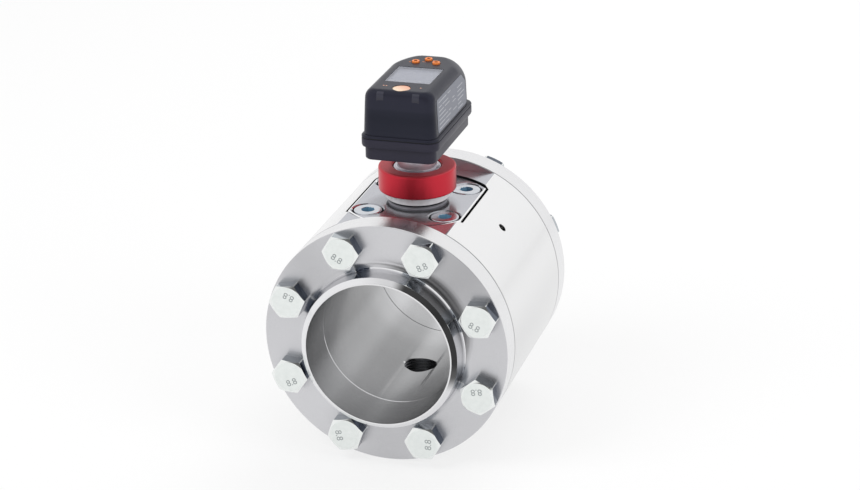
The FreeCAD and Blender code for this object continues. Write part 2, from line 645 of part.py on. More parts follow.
rounding_cut(shoulders, ("cover_x", "cover_top"), "side_round", 1)
rounding_cut(shoulders, ("cover_x", "cover_top"), "side_round", -1)
cut(body, shoulders, "cover_y + cover_y + cover_y + cover_y")
rear = sketch_on(body, "YZ_Plane", "cover_x + over")
rounding_cut(rear, ("head_y + cover_y", "cover_top"), "rear_round", 1)
cut(body, rear, "cover_x + cover_x + over + over")
lip = sketch_on(body, "XY_Plane", "cover_low")
round_rect(lip, "ridge_x", "ridge_y", "head_y", "ridge_round")
raise_from(body, lip, "lip_top - cover_low")
entry = sketch_on(body, "XY_Plane", "lip_top")
round_rect(entry, "room_x", "room_y", "head_y", "room_round")
cut(body, entry, "lip_top")
stands = sketch_on(body, "XY_Plane", "cover_low")
for post in posts:
    circle(stands, post, "post_r")
raise_from(body, stands, "fix_hole_top - cover_low + over + over")
hangers = sketch_on(body, "XY_Plane", board_top)
for stay in stays:
    circle(hangers, stay, "stay_r")
raise_from(body, hangers, "board_drop - roof + over")
threads = sketch_on(body, "XY_Plane", "fix_hole_top")
for post in posts:
    circle(threads, post, "fix_r + fix_play")
cut(body, threads, "fix_hole_top")
seat = sketch_on(body, "XY_Plane", "cover_top - window_deep")
round_rect(seat, "window_x + window_gap", "window_y + window_gap", "show_y", "window_round")
cut(body, seat, "over + over", upward=True)
view = sketch_on(body, "XY_Plane", "cover_top")
round_rect(view, "panel_x + panel_gap", "panel_y + panel_gap", "show_y", "window_round")
cut(body, view, "roof + over")
bed = sketch_on(body, "XY_Plane", "cover_top - inlay_deep")
circle(bed, ("0", "inlay_y"), "inlay_r + inlay_gap")
cut(body, bed, "over + over", upward=True)
openings = sketch_on(body, "XY_Plane", "cover_top + over")
for place in keys.values():
    circle(openings, place, "key_r + key_gap")
for place in lights:
    circle(openings, place, "light_r + light_play")
cut(body, openings, "roof + over + over")
socket_way = sketch_on(body, "XZ_Plane", "- head_y - room_y + over")
circle(socket_way, ("0", "plug_z"), "plug_r + plug_play")
cut(body, socket_way, "cover_y")


def fixing_screw(name, x, y):
    head = solid("Cylinder", name + "_head", Radius="fix_head_r", Height="fix_head")
    bind(head, "Placement.Base.z", "fix_seat - fix_head")
    shank = solid("Cylinder", name + "_shank", Radius="fix_r", Height="fix_tip - fix_seat")
    bind(shank, "Placement.Base.z", "fix_seat")
    slot = solid("Prism", name + "_slot", Circumradius="fix_r", Height="fix_r")
    slot.Polygon = 6
    bind(slot, "Placement.Base.z", "fix_seat - fix_head")
    screw = pair("Cut", name, fuse(name + "_blank", head, shank), slot)
    return at_height(screw, x, y, "0")


group("cover_screws", [fixing_screw(f"cover_screw_{at}", *post) for at, post in enumerate(posts)])

# Window, display panel, inlay, status lights and rating label
body = node("PartDesign::Body", "display_window")
pane = sketch_on(body, "XY_Plane", "cover_top - window_deep")
round_rect(pane, "window_x", "window_y", "show_y", "window_round")
raise_from(body, pane, "window_deep - window_sink")

body = node("PartDesign::Body", "display_panel")
panel = sketch_on(body, "XY_Plane", board_top)
round_rect(panel, "panel_x", "panel_y", "show_y", "window_round")
raise_from(body, panel, "board_drop - panel_drop")

inlay = node("Part::Cylinder", "round_inlay")
bind(inlay, "Radius", "inlay_r")
bind(inlay, "Height", "inlay_deep - inlay_sink")
at_height(inlay, "0", "inlay_y", "cover_top - inlay_deep")


def light_rod(name, x, y):
    rod = solid("Cylinder", name, Radius="light_r", Height="light_long")
    return at_height(rod, x, y, "cover_top - light_long")


group("status_lights", [light_rod(f"status_light_{at}", *place) for at, place in enumerate(lights)])

body = node("PartDesign::Body", "rating_label")
label = sketch_on(body, "YZ_Plane", "cover_x")
polygon(label, [("label_front", "cover_low + label_rise"), ("label_rear", "cover_low + label_rise"),
                ("label_rear", "cover_top - label_rear_drop"), ("label_bend", "cover_top - label_drop"),
                ("label_front", "cover_top - label_drop")])
raise_from(body, label, "label_thick")
soften(body, "Fillet", "label_round", lambda edge: edge.BoundBox.XLength > 0.2)

# Circuit board with its parts, key mat and keys
body = node("PartDesign::Body", "circuit_board")
card = sketch_on(body, "XY_Plane", board_top + " - board_thick")
round_rect(card, "board_x", "board_y", "head_y", "room_round")
raise_from(body, card, "board_thick")
chips = sketch_on(body, "XY_Plane", board_top + " - board_thick - chip_thick")
polygon(chips, [("- chip_x", "- chip_far"), ("chip_x", "- chip_far"), ("chip_x", "- chip_near"),
                ("- chip_x", "- chip_near")])
polygon(chips, [("- chip_far", "chip_x"), ("- chip_near", "chip_x"), ("- chip_near", "chip_far"),
                ("- chip_far", "chip_far")])
raise_from(body, chips, "chip_thick")

mat_sheet = solid("Box", "mat_sheet", Length="mat_x + mat_x", Width="mat_high_y - mat_low_y",
                  Height="mat_thick")
at_height(mat_sheet, "- mat_x", "mat_low_y", board_top)
domes = [at_height(solid("Cylinder", name + "_dome", Radius="dome_r", Height="dome_high"), *place, board_top)
         for name, place in keys.items()]
mat = node("Part::MultiFuse", "key_mat")
mat.Shapes = [mat_sheet] + domes

key_low = "cover_top - key_drop"
key_top = "cover_top + key_proud"
for name, place in keys.items():
    body = node("PartDesign::Body", name)
    spin(body, "XZ_Plane", "V_Axis", [
        ("0", key_low), ("key_foot_r", key_low), ("key_foot_r", key_low + " + key_foot"),
        ("key_r", key_low + " + key_foot"), ("key_r", key_top + " - key_edge"), ("key_r - key_edge", key_top),
        ("key_dish_r", key_top), ("key_dish_r", key_top + " - key_dish"), ("0", key_top + " - key_dish")])
    bind(body, "Placement.Base.x", place[0])
    bind(body, "Placement.Base.y", place[1])


# Plug socket on the rear wall, built upright and laid along +Y
def lay_down(item):
    place = vector(0, size["head_y"] + size["cover_y"], size["plug_z"])
    item.Placement = FreeCAD.Placement(place, FreeCAD.Rotation(vector(1, 0, 0), -90))


body = node("PartDesign::Body", "socket_shell")
spin(body, "XZ_Plane", "V_Axis", [
    ("plug_hole_r", "- plug_in"), ("plug_r", "- plug_in"), ("plug_r", "0"), ("plug_flange_r", "0"),
    ("plug_flange_r", "plug_flange"), ("plug_r", "plug_flange"), ("plug_r", "plug_out"),
    ("plug_cup_r", "plug_out"), ("plug_cup_r", "plug_cup"), ("plug_hole_r", "plug_cup")])
lay_down(body)

nut_blank = solid("Prism", "socket_nut_blank", Circumradius="plug_nut_r", Height="plug_nut")
nut_blank.Polygon = 6
nut_way = solid("Cylinder", "socket_nut_way", Radius="plug_r + plug_play", Height="plug_nut")
for piece in (nut_blank, nut_way):
    bind(piece, "Placement.Base.z", "- plug_wall - plug_nut")
nut = node("Part::Cut", "socket_nut")
nut.Base = nut_blank
nut.Tool = nut_way
lay_down(nut)

body = node("PartDesign::Body", "socket_insert")
core = sketch_on(body, "XY_Plane", "plug_cup")
circle(core, ("0", "0"), "plug_cup_r - insert_gap")
raise_from(body, core, "insert_top - plug_cup")
lay_down(body)


def contact(name, x, y):
    pin = solid("Cylinder", name, Radius="pin_r", Height="pin_top - insert_top")
    return at_height(pin, x, y, "insert_top")


spread = [("pin_ring", "0"), ("- pin_ring", "0"), ("0", "pin_ring"), ("0", "- pin_ring"), ("0", "0")]
lay_down(group("socket_pins", [contact(f"socket_pin_{at}", *place) for at, place in enumerate(spread)]))

doc.recompute()
faults = [item.Name for item in doc.Objects if "Invalid" in item.State or "Error" in item.State]
faults += [item.Label for item in nodes if item.Shape.isNull() or not item.Shape.isValid()]
if faults:
    raise RuntimeError("not built: " + ", ".join(faults))

os.makedirs("parts", exist_ok=True)
for item in nodes:
    item.Shape.exportStep(f"parts/{item.Label}.step")
    box = item.Shape.BoundBox
    print(f"{item.Label}: {len(item.Shape.Solids)} solid, {item.Shape.Volume:.0f} mm3, "
          f"z {box.ZMin:.2f} to {box.ZMax:.2f}, y {box.YMin:.2f} to {box.YMax:.2f}")
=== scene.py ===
import bmesh
import bpy
import math
from mathutils import Matrix, Vector


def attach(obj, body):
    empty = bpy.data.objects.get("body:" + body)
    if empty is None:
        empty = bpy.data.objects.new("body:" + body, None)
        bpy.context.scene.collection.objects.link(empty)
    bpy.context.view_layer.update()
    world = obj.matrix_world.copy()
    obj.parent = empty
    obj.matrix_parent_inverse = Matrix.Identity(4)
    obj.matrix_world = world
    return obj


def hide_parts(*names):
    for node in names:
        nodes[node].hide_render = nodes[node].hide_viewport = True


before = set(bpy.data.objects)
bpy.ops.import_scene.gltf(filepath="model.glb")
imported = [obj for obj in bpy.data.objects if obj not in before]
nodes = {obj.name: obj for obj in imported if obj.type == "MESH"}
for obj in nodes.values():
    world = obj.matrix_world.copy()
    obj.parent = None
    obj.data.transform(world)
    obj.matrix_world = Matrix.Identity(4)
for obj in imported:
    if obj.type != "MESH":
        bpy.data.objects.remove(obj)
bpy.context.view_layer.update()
scene = bpy.context.scene
mm = 0.001
joinGap = 1e-6  # metres: points closer than this become one
sliver = 1e-7  # metres: edges shorter than this are dropped
turnY = Vector((0, 1, 0))
turnZ = Vector((0, 0, 1))
still = Matrix.Identity(4)
halfTurn = Matrix.Rotation(math.pi, 4, "Z")
print("frame loaded:", len(nodes), "nodes")


# modelling helpers, with sizes in mm

def lathe(profile, axis, rounds=(), steps=144, longWall=1.5, guard=0.3):
    # profile as (radius, place along the axis), rounds as (corner numbers, width, parts)
    bm = bmesh.new()
    corners = [bm.verts.new(Vector((r * mm, 0, 0)) + axis * (h * mm)) for r, h in profile]
    bm.faces.new(corners)
    for numbers, width, parts in rounds:
        roundOff(bm, [corners[n] for n in numbers], width, parts, "VERTICES")
    bmesh.ops.delete(bm, geom=bm.faces[:], context="FACES_ONLY")
    if rounds:  # a ring close to each corner keeps the long walls evenly shaded
        for edge in [e for e in bm.edges if e.calc_length() > longWall * mm]:
            share = guard * mm / edge.calc_length()
            start, stop = edge.verts
            middle = bmesh.utils.edge_split(edge, start, share)[1]
            longer = [e for e in middle.link_edges if stop in e.verts][0]
            bmesh.utils.edge_split(longer, stop, share / (1 - share))
    bmesh.ops.spin(bm, geom=bm.verts[:] + bm.edges[:], cent=(0, 0, 0), axis=axis, dvec=(0, 0, 0),
                   angle=2 * math.pi, steps=steps, use_merge=True, use_duplicate=False)
    return tidied(bm)


def tidied(bm):
    bmesh.ops.remove_doubles(bm, verts=bm.verts[:], dist=joinGap)
    bmesh.ops.recalc_face_normals(bm, faces=bm.faces[:])
    return bm


def roundOff(bm, geom, width, parts, affect="EDGES"):
    return bmesh.ops.bevel(bm, geom=geom, affect=affect, offset=width * mm, offset_type="OFFSET",
                           segments=parts, profile=0.5, material=-1, clamp_overlap=True)


def extruded(bm, vec):
    lifted = bmesh.ops.extrude_face_region(bm, geom=bm.faces[:])["geom"]
    bmesh.ops.translate(bm, verts=[v for v in lifted if isinstance(v, bmesh.types.BMVert)], vec=vec)
    return tidied(bm)


def raised(bm, low, high):  # a flat outline drawn at z = 0 becomes a prism
    bmesh.ops.translate(bm, verts=bm.verts[:], vec=(0, 0, low * mm))
    return extruded(bm, (0, 0, (high - low) * mm))


def rod(radius, low, high, sides=64):  # upright rod or prism
    bm = bmesh.new()
    bmesh.ops.create_circle(bm, cap_ends=True, radius=radius * mm, segments=sides)
    return raised(bm, low, high)


def cutOff(bm, place, way):  # everything past a plane is removed
    return bmesh.ops.bisect_plane(bm, geom=bm.verts[:] + bm.edges[:] + bm.faces[:], dist=sliver,
                                  plane_co=place, plane_no=way, clear_outer=True)["geom_cut"]


def flatSided(radius, half, low, high):  # round disc with two straight sides along Y
    bm = bmesh.new()
    bmesh.ops.create_circle(bm, cap_ends=True, radius=radius * mm, segments=144)
    for side in (1, -1):
        cutOff(bm, (side * half * mm, 0, 0), (side, 0, 0))
    return raised(bm, low, high)


def block(low, high):
    bm = bmesh.new()
    size = [(b - a) * mm for a, b in zip(low, high)]
    middle = Vector([(a + b) / 2 * mm for a, b in zip(low, high)])
    bmesh.ops.create_cube(bm, size=1, matrix=Matrix.Translation(middle) @ Matrix.Diagonal((*size, 1)))
    return bm


def along(bm, axis):  # the edges that run along X, Y or Z
    return [e for e in bm.edges if abs((e.verts[0].co - e.verts[1].co).normalized()[axis]) > 0.99]


def levelEdges(bm, z):  # the outline edges of a face at one height
    return [e for e in bm.edges if all(abs(v.co.z - z * mm) < joinGap for v in e.verts)
            and sum(abs(f.normal.z) > flatOn for f in e.link_faces) == 1]


def roundedBlock(low, high, corner, parts, levels=()):  # levels as (height, width, parts)
    bm = block(low, high)
    roundOff(bm, along(bm, 2), corner, parts)
    for z, width, steps in levels:
        bm.normal_update()
        roundOff(bm, levelEdges(bm, z), width, steps)
    return bm


def shift(x, y):
    return Matrix.Translation((x * mm, y * mm, 0))


def placed(bm, matrix):
    bmesh.ops.transform(bm, matrix=matrix, verts=bm.verts[:])
    return bm


def meshOf(name, bm):  # a bmesh written to a mesh and freed
    mesh = bpy.data.meshes.new(name)
    bm.to_mesh(mesh)
    bm.free()
    return mesh


def linked(name, data):  # a new object in the scene
    item = bpy.data.objects.new(name, data)
    scene.collection.objects.link(item)
    return item


def merged(parts):  # several meshes in one
    bm = bmesh.new()
    for part in parts:
        mesh = meshOf("part", part)
        bm.from_mesh(mesh)
        bpy.data.meshes.remove(mesh)
    return bm


def copied(bm, places):
    return merged([placed(bm.copy(), place) for place in places])


def evaluated(item):  # the finished mesh of an object
    bpy.context.view_layer.update()
    return bpy.data.meshes.new_from_object(item.evaluated_get(bpy.context.evaluated_depsgraph_get()))


def carve(bm, tool, how="DIFFERENCE"):  # one solid cut by, joined to or kept inside another
    pair = [linked(name, meshOf(name, source)) for name, source in (("host", bm), ("tool", tool))]
    step = pair[0].modifiers.new("carve", "BOOLEAN")
    step.operation = how
    step.solver = "EXACT"
    step.object = pair[1]
    result = evaluated(pair[0])
    out = bmesh.new()
    out.from_mesh(result)
    for item in pair:
        mesh = item.data
        bpy.data.objects.remove(item)
        bpy.data.meshes.remove(mesh)
    bpy.data.meshes.remove(result)
    bmesh.ops.dissolve_degenerate(out, dist=sliver, edges=out.edges[:])
    return out


def show(name, bm, finish, body, stands, sharp=32):  # a finished mesh takes its place on a body
    mesh = meshOf(name, bm)
    mesh.materials.append(finishes[finish])
    mesh.shade_smooth()
    mesh.set_sharp_from_angle(angle=math.radians(sharp))
    piece = linked(name, mesh)
    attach(piece, body)
    if stands:
        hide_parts(*stands)
    return piece


def smoothed(node, finish, body, sharp=30):  # a CAD solid as it is, with smooth round faces
    bm = bmesh.new()
    bm.from_mesh(nodes[node].data)
    bmesh.ops.remove_doubles(bm, verts=bm.verts[:], dist=2 * joinGap)
    bmesh.ops.dissolve_degenerate(bm, dist=sliver, edges=bm.edges[:])
    return show(node + "Smooth", bm, finish, body, [node], sharp)


def paint(piece, finish, test):  # faces picked by place (mm) and facing take another finish
    piece.data.materials.append(finishes[finish])
    number = len(piece.data.materials) - 1
    for face in piece.data.polygons:
        if test(face.center / mm, face.normal):
            face.material_index = number


near = 0.1  # mm of slack when faces are picked by place
close = 0.05
hair = 0.02
sideOn = 0.3  # a face's share of an axis: a side lies below this
flatOn = 0.9  # and a flat end above this


def fromFlow(at):  # distance from the flow's axis
    return math.hypot(at.x, at.z)


def fromStem(at):  # distance from the upright axis
    return math.hypot(at.x, at.y)


# finishes

def skinOf(mat):  # the inputs of a finish
    return mat.node_tree.nodes["Principled BSDF"].inputs


def add(owner, kind, **values):  # a node of a material or of the world
    item = owner.node_tree.nodes.new("ShaderNode" + kind)
    for key, value in values.items():
        if key in item.inputs:
            item.inputs[key].default_value = value
        else:
            setattr(item, key, value)
    return item


def wire(owner, source, target):
    owner.node_tree.links.new(source, target)


def worked(owner, kind, how, first, second=None, out="Value"):  # the second may be a socket or a value
    step = add(owner, kind, operation=how)
    wire(owner, first, step.inputs[0])
    if isinstance(second, bpy.types.NodeSocket):
        wire(owner, second, step.inputs[1])
    elif second is not None:
        step.inputs[1].default_value = second
    return step.outputs[out]


def spotOf(mat):
    return add(mat, "TexCoord").outputs["Object"]


def noise(mat, spot, **values):
    item = add(mat, "TexNoise", **values)
    wire(mat, spot, item.inputs["Vector"])
    return item.outputs["Fac"]


def spread(owner, value, low, high, start=0.0, stop=1.0, ease="LINEAR"):  # a value's span mapped to another
    step = add(owner, "MapRange", interpolation_type=ease,
               **{"From Min": start, "From Max": stop, "To Min": low, "To Max": high})
    wire(owner, value, step.inputs["Value"])
    return step.outputs["Result"]


def shades(mat, value, dark, light):  # colour between two shades, driven by a value
    ramp = add(mat, "ValToRGB")
    ramp.color_ramp.elements[0].color = (*dark, 1)
    ramp.color_ramp.elements[1].color = (*light, 1)
    wire(mat, value, ramp.inputs["Fac"])
    wire(mat, ramp.outputs["Color"], skinOf(mat)["Base Color"])


def shaded(mat, value, stops):  # the base colour dimmed or lifted along a ramp
    ramp = add(mat, "ValToRGB")
    ramp.color_ramp.interpolation = "EASE"
    while len(ramp.color_ramp.elements) < len(stops):
        ramp.color_ramp.elements.new(0.5)
    for stop, (at, shade) in zip(ramp.color_ramp.elements, stops):
        stop.position = at
        stop.color = (shade, shade, shade, 1)
    wire(mat, value, ramp.inputs["Fac"])
    dim = add(mat, "Mix", data_type="RGBA", blend_type="MULTIPLY")
    dim.inputs[0].default_value = 1.0
    wire(mat, skinOf(mat)["Base Color"].links[0].from_socket, dim.inputs[6])
    wire(mat, ramp.outputs["Color"], dim.inputs[7])
    wire(mat, dim.outputs[2], skinOf(mat)["Base Color"])


def angleRound(mat):  # 0 on the left, 0.25 on top, 0.5 on the right, 0.75 below
    turn = add(mat, "Mapping", Rotation=(math.radians(90), 0, 0))
    wire(mat, spotOf(mat), turn.inputs["Vector"])
    sweep = add(mat, "TexGradient", gradient_type="RADIAL")
    wire(mat, turn.outputs["Vector"], sweep.inputs["Vector"])
    return sweep.outputs["Fac"]


def reachOut(mat, middle, far, plane):  # distance in a plane from a place (mm), as a share of a radius
    away = worked(mat, "VectorMath", "SUBTRACT", spotOf(mat), Vector(middle) * mm, "Vector")
    level = worked(mat, "VectorMath", "MULTIPLY", away, plane, "Vector")
    return worked(mat, "Math", "DIVIDE", worked(mat, "VectorMath", "LENGTH", level), far * mm)


def rise(mat, low, high, axis="Z", spot=None):  # 0 to 1 between two places in mm along an axis
    parts = add(mat, "SeparateXYZ")
    wire(mat, spot or spotOf(mat), parts.inputs[0])
    return spread(mat, parts.outputs[axis], 0.0, 1.0, low * mm, high * mm)


def slant(mat, turn, move, half):  # 0 to 1 across a line turned in the XY plane
    level = add(mat, "Mapping", Rotation=(0, 0, math.radians(turn)), Location=Vector(move) * mm)
    wire(mat, spotOf(mat), level.inputs["Vector"])
    return rise(mat, -half, half, "X", level.outputs["Vector"])


def plainFinish(name, color, metallic, roughness):
    mat = bpy.data.materials.new(name)
    mat.use_nodes = True
    skin = skinOf(mat)
    skin["Base Color"].default_value = (*color, 1)
    skin["Metallic"].default_value = metallic
    skin["Roughness"].default_value = roughness
    return mat


def textured(mat, value, dark, light, roughDark, roughLight, relief, depth):  # colour, gloss and bump
    shades(mat, value, dark, light)
    wire(mat, spread(mat, value, roughDark, roughLight), skinOf(mat)["Roughness"])
    step = add(mat, "Bump", Strength=1.0, Distance=depth * mm)
    wire(mat, relief, step.inputs["Height"])
    wire(mat, step.outputs["Normal"], skinOf(mat)["Normal"])
    return mat


def varied(color, share):
    return tuple(c * (1 + share) for c in color)


def brushed(mat, amount, axis, turn=0.0):  # highlights stretched around a turning axis, or across it
    skinOf(mat)["Anisotropic"].default_value = amount
    skinOf(mat)["Anisotropic Rotation"].default_value = turn
    around = add(mat, "Tangent", direction_type="RADIAL", axis=axis)
    wire(mat, around.outputs["Tangent"], skinOf(mat)["Tangent"])
    return mat


def metal(name, color, roughness, lines, axis, streak=0.2, depth=0.002, straight=False):
    # turned (rings around an axis) or ground (bands along it) metal over slow cloudy variation
    mat = plainFinish(name, color, 1, roughness)
    spot = spotOf(mat)
    pattern = "BANDS" if straight else "RINGS"
    marks = add(mat, "TexWave", wave_type=pattern, Scale=lines, Distortion=1.5, Detail=3.0)
    setattr(marks, pattern.lower() + "_direction", axis)
    wire(mat, spot, marks.inputs["Vector"])
    mix = add(mat, "Mix", data_type="FLOAT")
    mix.inputs[0].default_value = 0.6
    wire(mat, marks.outputs["Fac"], mix.inputs[2])
    wire(mat, noise(mat, spot, Scale=45.0, Detail=6.0, Roughness=0.6), mix.inputs[3])
    return textured(mat, mix.outputs[0], varied(color, -streak / 2), varied(color, streak / 2),
                    roughDark=roughness * 0.75, roughLight=roughness * 1.3, relief=marks.outputs["Fac"],
                    depth=depth)


def plated(name, color, tint, roughness, grain, depth):  # dipped or plated metal with a fine mottle
    mat = plainFinish(name, color, 1, roughness)
    spot = spotOf(mat)
    mottle = noise(mat, spot, Scale=grain, Detail=5.0, Roughness=0.55)
    fine = noise(mat, spot, Scale=grain * 9, Detail=3.0)
    return textured(mat, mottle, tint, color, roughDark=roughness * 1.3, roughLight=roughness * 0.7,
                    relief=fine, depth=depth)


def plastic(name, color, roughness, grain, depth, cloud=0.12, shine=0.5):  # moulded, with a fine grain
    mat = plainFinish(name, color, 0, roughness)
    skinOf(mat)["Specular IOR Level"].default_value = shine
    spot = spotOf(mat)
    slow = noise(mat, spot, Scale=60.0, Detail=4.0)
    fine = noise(mat, spot, Scale=grain, Detail=3.0, Roughness=0.65)
    return textured(mat, slow, varied(color, -cloud), varied(color, cloud),
                    roughDark=roughness * 0.85, roughLight=roughness * 1.15, relief=fine, depth=depth)


finishes = {
    "body": metal("bodySteel", (0.86, 0.86, 0.865), 0.2, 700, "Y", 0.06, 0.001, True),
    "bore": metal("boreSatin", (0.44, 0.442, 0.45), 0.27, 800, "Y", 0.16, 0.002, True),
    "flange": brushed(metal("flangeSatin", (0.62, 0.62, 0.64), 0.3, 900, "Y", 0.14, 0.003), 0.6, "Y"),
    "neck": metal("neckPolish", (0.8, 0.8, 0.815), 0.12, 900, "Y", 0.06, 0.001, True),
    "rim": metal("rimSatin", (0.8, 0.8, 0.81), 0.25, 900, "Y", 0.08, 0.001, True),
    "weldEdge": metal("weldBevel", (0.8, 0.8, 0.815), 0.12, 900, "Y", 0.04, 0.0005),
    "seam": metal("seamShade", (0.32, 0.32, 0.33), 0.4, 900, "Y"),
    "zinc": plated("zincFace", (0.88, 0.91, 0.895), (0.74, 0.775, 0.76), 0.32, 330, 0.004),
    "zincSideShaded": plated("zincSideShaded", (0.5, 0.53, 0.56), (0.36, 0.39, 0.42), 0.1, 240, 0.001),
    "zincShade": plated("zincShade", (0.11, 0.13, 0.17), (0.06, 0.075, 0.105), 0.13, 240, 0.001),
    "zincEdgeHighlight": plated("zincEdgeHighlight", (0.88, 0.9, 0.89), (0.8, 0.82, 0.81), 0.16, 260, 0.001),
    "zincMark": plated("zincMarks", (0.4, 0.43, 0.43), (0.26, 0.28, 0.29), 0.35, 260, 0.002),
    "portShade": metal("portThread", (0.3, 0.305, 0.32), 0.35, 500, "Z"),
    "plate": brushed(metal("platePolish", (0.5, 0.51, 0.55), 0.17, 420, "X", 0.05, 0.0003, True),
                     0.6, "X"),
    "plateEdgeHighlight": metal("plateEdgeHighlight", (0.92, 0.92, 0.93), 0.15, 700, "Z", 0.04, 0.0005, True),
    "boss": metal("bossSatin", (0.9, 0.89, 0.91), 0.2, 700, "Z", 0.05, 0.001, True),
    "footShade": metal("footShade", (0.42, 0.41, 0.45), 0.35, 700, "Z", 0.1, 0.001, True),
    "gapShade": metal("gapShade", (0.03, 0.03, 0.034), 0.5, 700, "Z", 0.2, 0.001, True),
    "screw": plated("screwPlate", (0.66, 0.68, 0.71), (0.55, 0.57, 0.62), 0.2, 420, 0.001),
    "screwKey": plated("socketBlue", (0.2, 0.36, 0.47), (0.1, 0.22, 0.32), 0.3, 420, 0.002),
    "screwWall": plated("socketWall", (0.22, 0.4, 0.54), (0.14, 0.29, 0.42), 0.3, 420, 0.002),
    # the stem's steel is tinted toward purple: a painted reflection of the red nut
    "stem": metal("stemPolish", (0.6, 0.58, 0.64), 0.2, 700, "Z", 0.06, 0.0008, True),
    "probe": metal("probeSteel", (0.66, 0.66, 0.68), 0.22, 900, "Z", 0.2, 0.002, True),
    "nut": brushed(metal("redAnodised", (0.55, 0.034, 0.052), 0.34, 600, "Z", 0.12, 0.002, True),
                   0.7, "Z", 0.25),
    "nutTop": metal("redAnodisedTop", (0.56, 0.045, 0.062), 0.45, 600, "Z", 0.1, 0.002),
    "socket": plated("nickelPlate", (0.72, 0.7, 0.64), (0.55, 0.53, 0.47), 0.2, 300, 0.002),
    "pins": plated("goldPins", (0.85, 0.64, 0.27), (0.7, 0.5, 0.18), 0.2, 500, 0.001),
    "head": plastic("charcoalPlastic", (0.0158, 0.0152, 0.0232), 0.36, 2600, 0.012, 0.1, 0.26),
    # the base takes a lighter, less glossy copy of the head plastic: painted light on the base
    "headLow": plastic("charcoalBase", (0.0255, 0.024, 0.0395), 0.38, 2600, 0.012, 0.1, 0.2),
    "frontPad": plastic("frontPads", (0.045, 0.047, 0.066), 0.3, 2600, 0.01, 0.1, 0.4),
    "rubber": plastic("sealRubber", (0.008, 0.008, 0.009), 0.6, 3000, 0.02, 0.2, 0.3),
    "keys": plastic("orangeKeys", (0.92, 0.25, 0.05), 0.34, 3000, 0.008),
    "keyWell": plastic("keyWell", (0.02, 0.008, 0.006), 0.5, 3000, 0.01),
    "inlay": plastic("creamInlay", (0.8, 0.56, 0.41), 0.24, 1500, 0.003, 0.1),
    "label": plastic("labelFilm", (0.135, 0.145, 0.185), 0.36, 2200, 0.005),
    "print": plastic("palePrint", (0.42, 0.43, 0.47), 0.45, 2600, 0.003),
    "panel": plastic("displayGrey", (0.47, 0.485, 0.555), 0.3, 900, 0.001, 0.05),
    "window": plastic("windowClear", (0.5, 0.515, 0.58), 0.1, 300, 0.0002, 0.03),
    "light": plastic("lightRods", (0.95, 0.5, 0.36), 0.25, 1200, 0.002),
    "board": plastic("boardGreen", (0.03, 0.13, 0.06), 0.4, 1800, 0.01),
    "washer": plastic("washerPlastic", (0.5, 0.5, 0.48), 0.4, 2000, 0.005),
}
partMetal = {"stem": 0.5, "plate": 0.85, "screwKey": 0.5, "boss": 0.2, "screwWall": 0.1, "footShade": 0.4,
             "nutTop": 0.45}  # hazy surfaces, not quite bare metal
for name, share in partMetal.items():
    skinOf(finishes[name])["Metallic"].default_value = share
skinOf(finishes["head"])["Specular Tint"].default_value = (0.66, 0.75, 1.0, 1)
skinOf(finishes["window"])["Alpha"].default_value = 0.4

# painted light and shade fixed in a surface's colour (painted reflections, sheen and shadows), as (share of
# the way, shade)
paintedShadeBands = {
    # bore: painted reflection streaks around it, and painted shade that leaves the middle darker and the far
    # end lighter
    "bore": {"round": ((0, 0.64), (0.04, 0.52), (0.2, 0.86), (0.5, 0.95), (0.62, 0.66), (0.68, 0.6),
                       (0.76, 1.02), (0.80, 0.74), (0.84, 0.78), (0.88, 1), (0.92, 0.93), (0.96, 0.68),
                       (1, 0.64)),
             "span": (-80, 80, "Y"),
             "along": ((0, 1.08), (0.2, 1.02), (0.5, 0.9), (0.62, 0.94), (0.75, 1.15), (0.9, 1.4),
                       (1, 1.4))},
    # flange: painted sheen in sectors, darkest at the top right, and a painted dark ring round the neck's
    # root toward the top right (painted shade and reflection)
    "flange": {"round": ((0, 1), (0.06, 0.98), (0.125, 0.86), (0.2, 0.99), (0.27, 1), (0.375, 0.70),
                         (0.46, 0.97), (0.53, 1), (0.64, 0.96), (0.75, 0.88), (0.87, 1.04), (1, 1)),
               "reach": ((10.5, 0, 9.5), 60, (1, 0, 1)),
               "out": ((0, 0.3), (0.592, 0.3), (0.617, 0.5), (0.65, 0.85), (0.675, 1), (1, 1))},
    # weld bevel: a painted black reflection across its top right
    "weldEdge": {"round": ((0, 1), (0.2, 1), (0.28, 0.8), (0.31, 0.06), (0.5, 0.05), (0.53, 0.12),
                           (0.57, 0.9), (1, 1))},
    # body: painted shade and reflection, darker toward the right and underneath
    "body": {"round": ((0, 0.9), (0.2, 1), (0.36, 1), (0.44, 0.95), (0.5, 0.86), (0.75, 0.82),
                       (1, 0.9))},
    # plate and the body's flat: a painted shadow and dimmed reflection around the boss, reaching furthest to
    # the front
    "plate": {"reach": ((0, -13, 0), 50, (1, 1, 0)),
              "out": ((0, 0.7), (0.38, 0.7), (0.46, 0.75), (0.52, 0.88), (0.58, 1), (1, 1))},
    # head: painted light and reflection in bands by height, lighter low down and near the top, darker in
    # between
    "head": {"span": (95, 137, "Z"),
             "along": ((0, 1.4), (0.3, 1.4), (0.33, 1.1), (0.36, 1), (0.45, 0.85), (0.62, 0.7),
                       (0.7, 0.85), (0.76, 1.2), (0.88, 1.25), (1, 1))},
    # boss foot: painted shade, darker toward the ring above
    "footShade": {"span": (62, 63.6, "Z"), "along": ((0, 1), (0.5, 0.6), (1, 0.2))},
}
padFade = {"span": (130, 134), "low": (0.018, 0.0175, 0.0265), "high": (0.030, 0.0305, 0.048)}
inlayFade = {"turn": -50, "move": (20.5, 17.2, 0), "half": 4,
             "pale": (0.90, 0.70, 0.50), "warm": (0.80, 0.36, 0.22)}
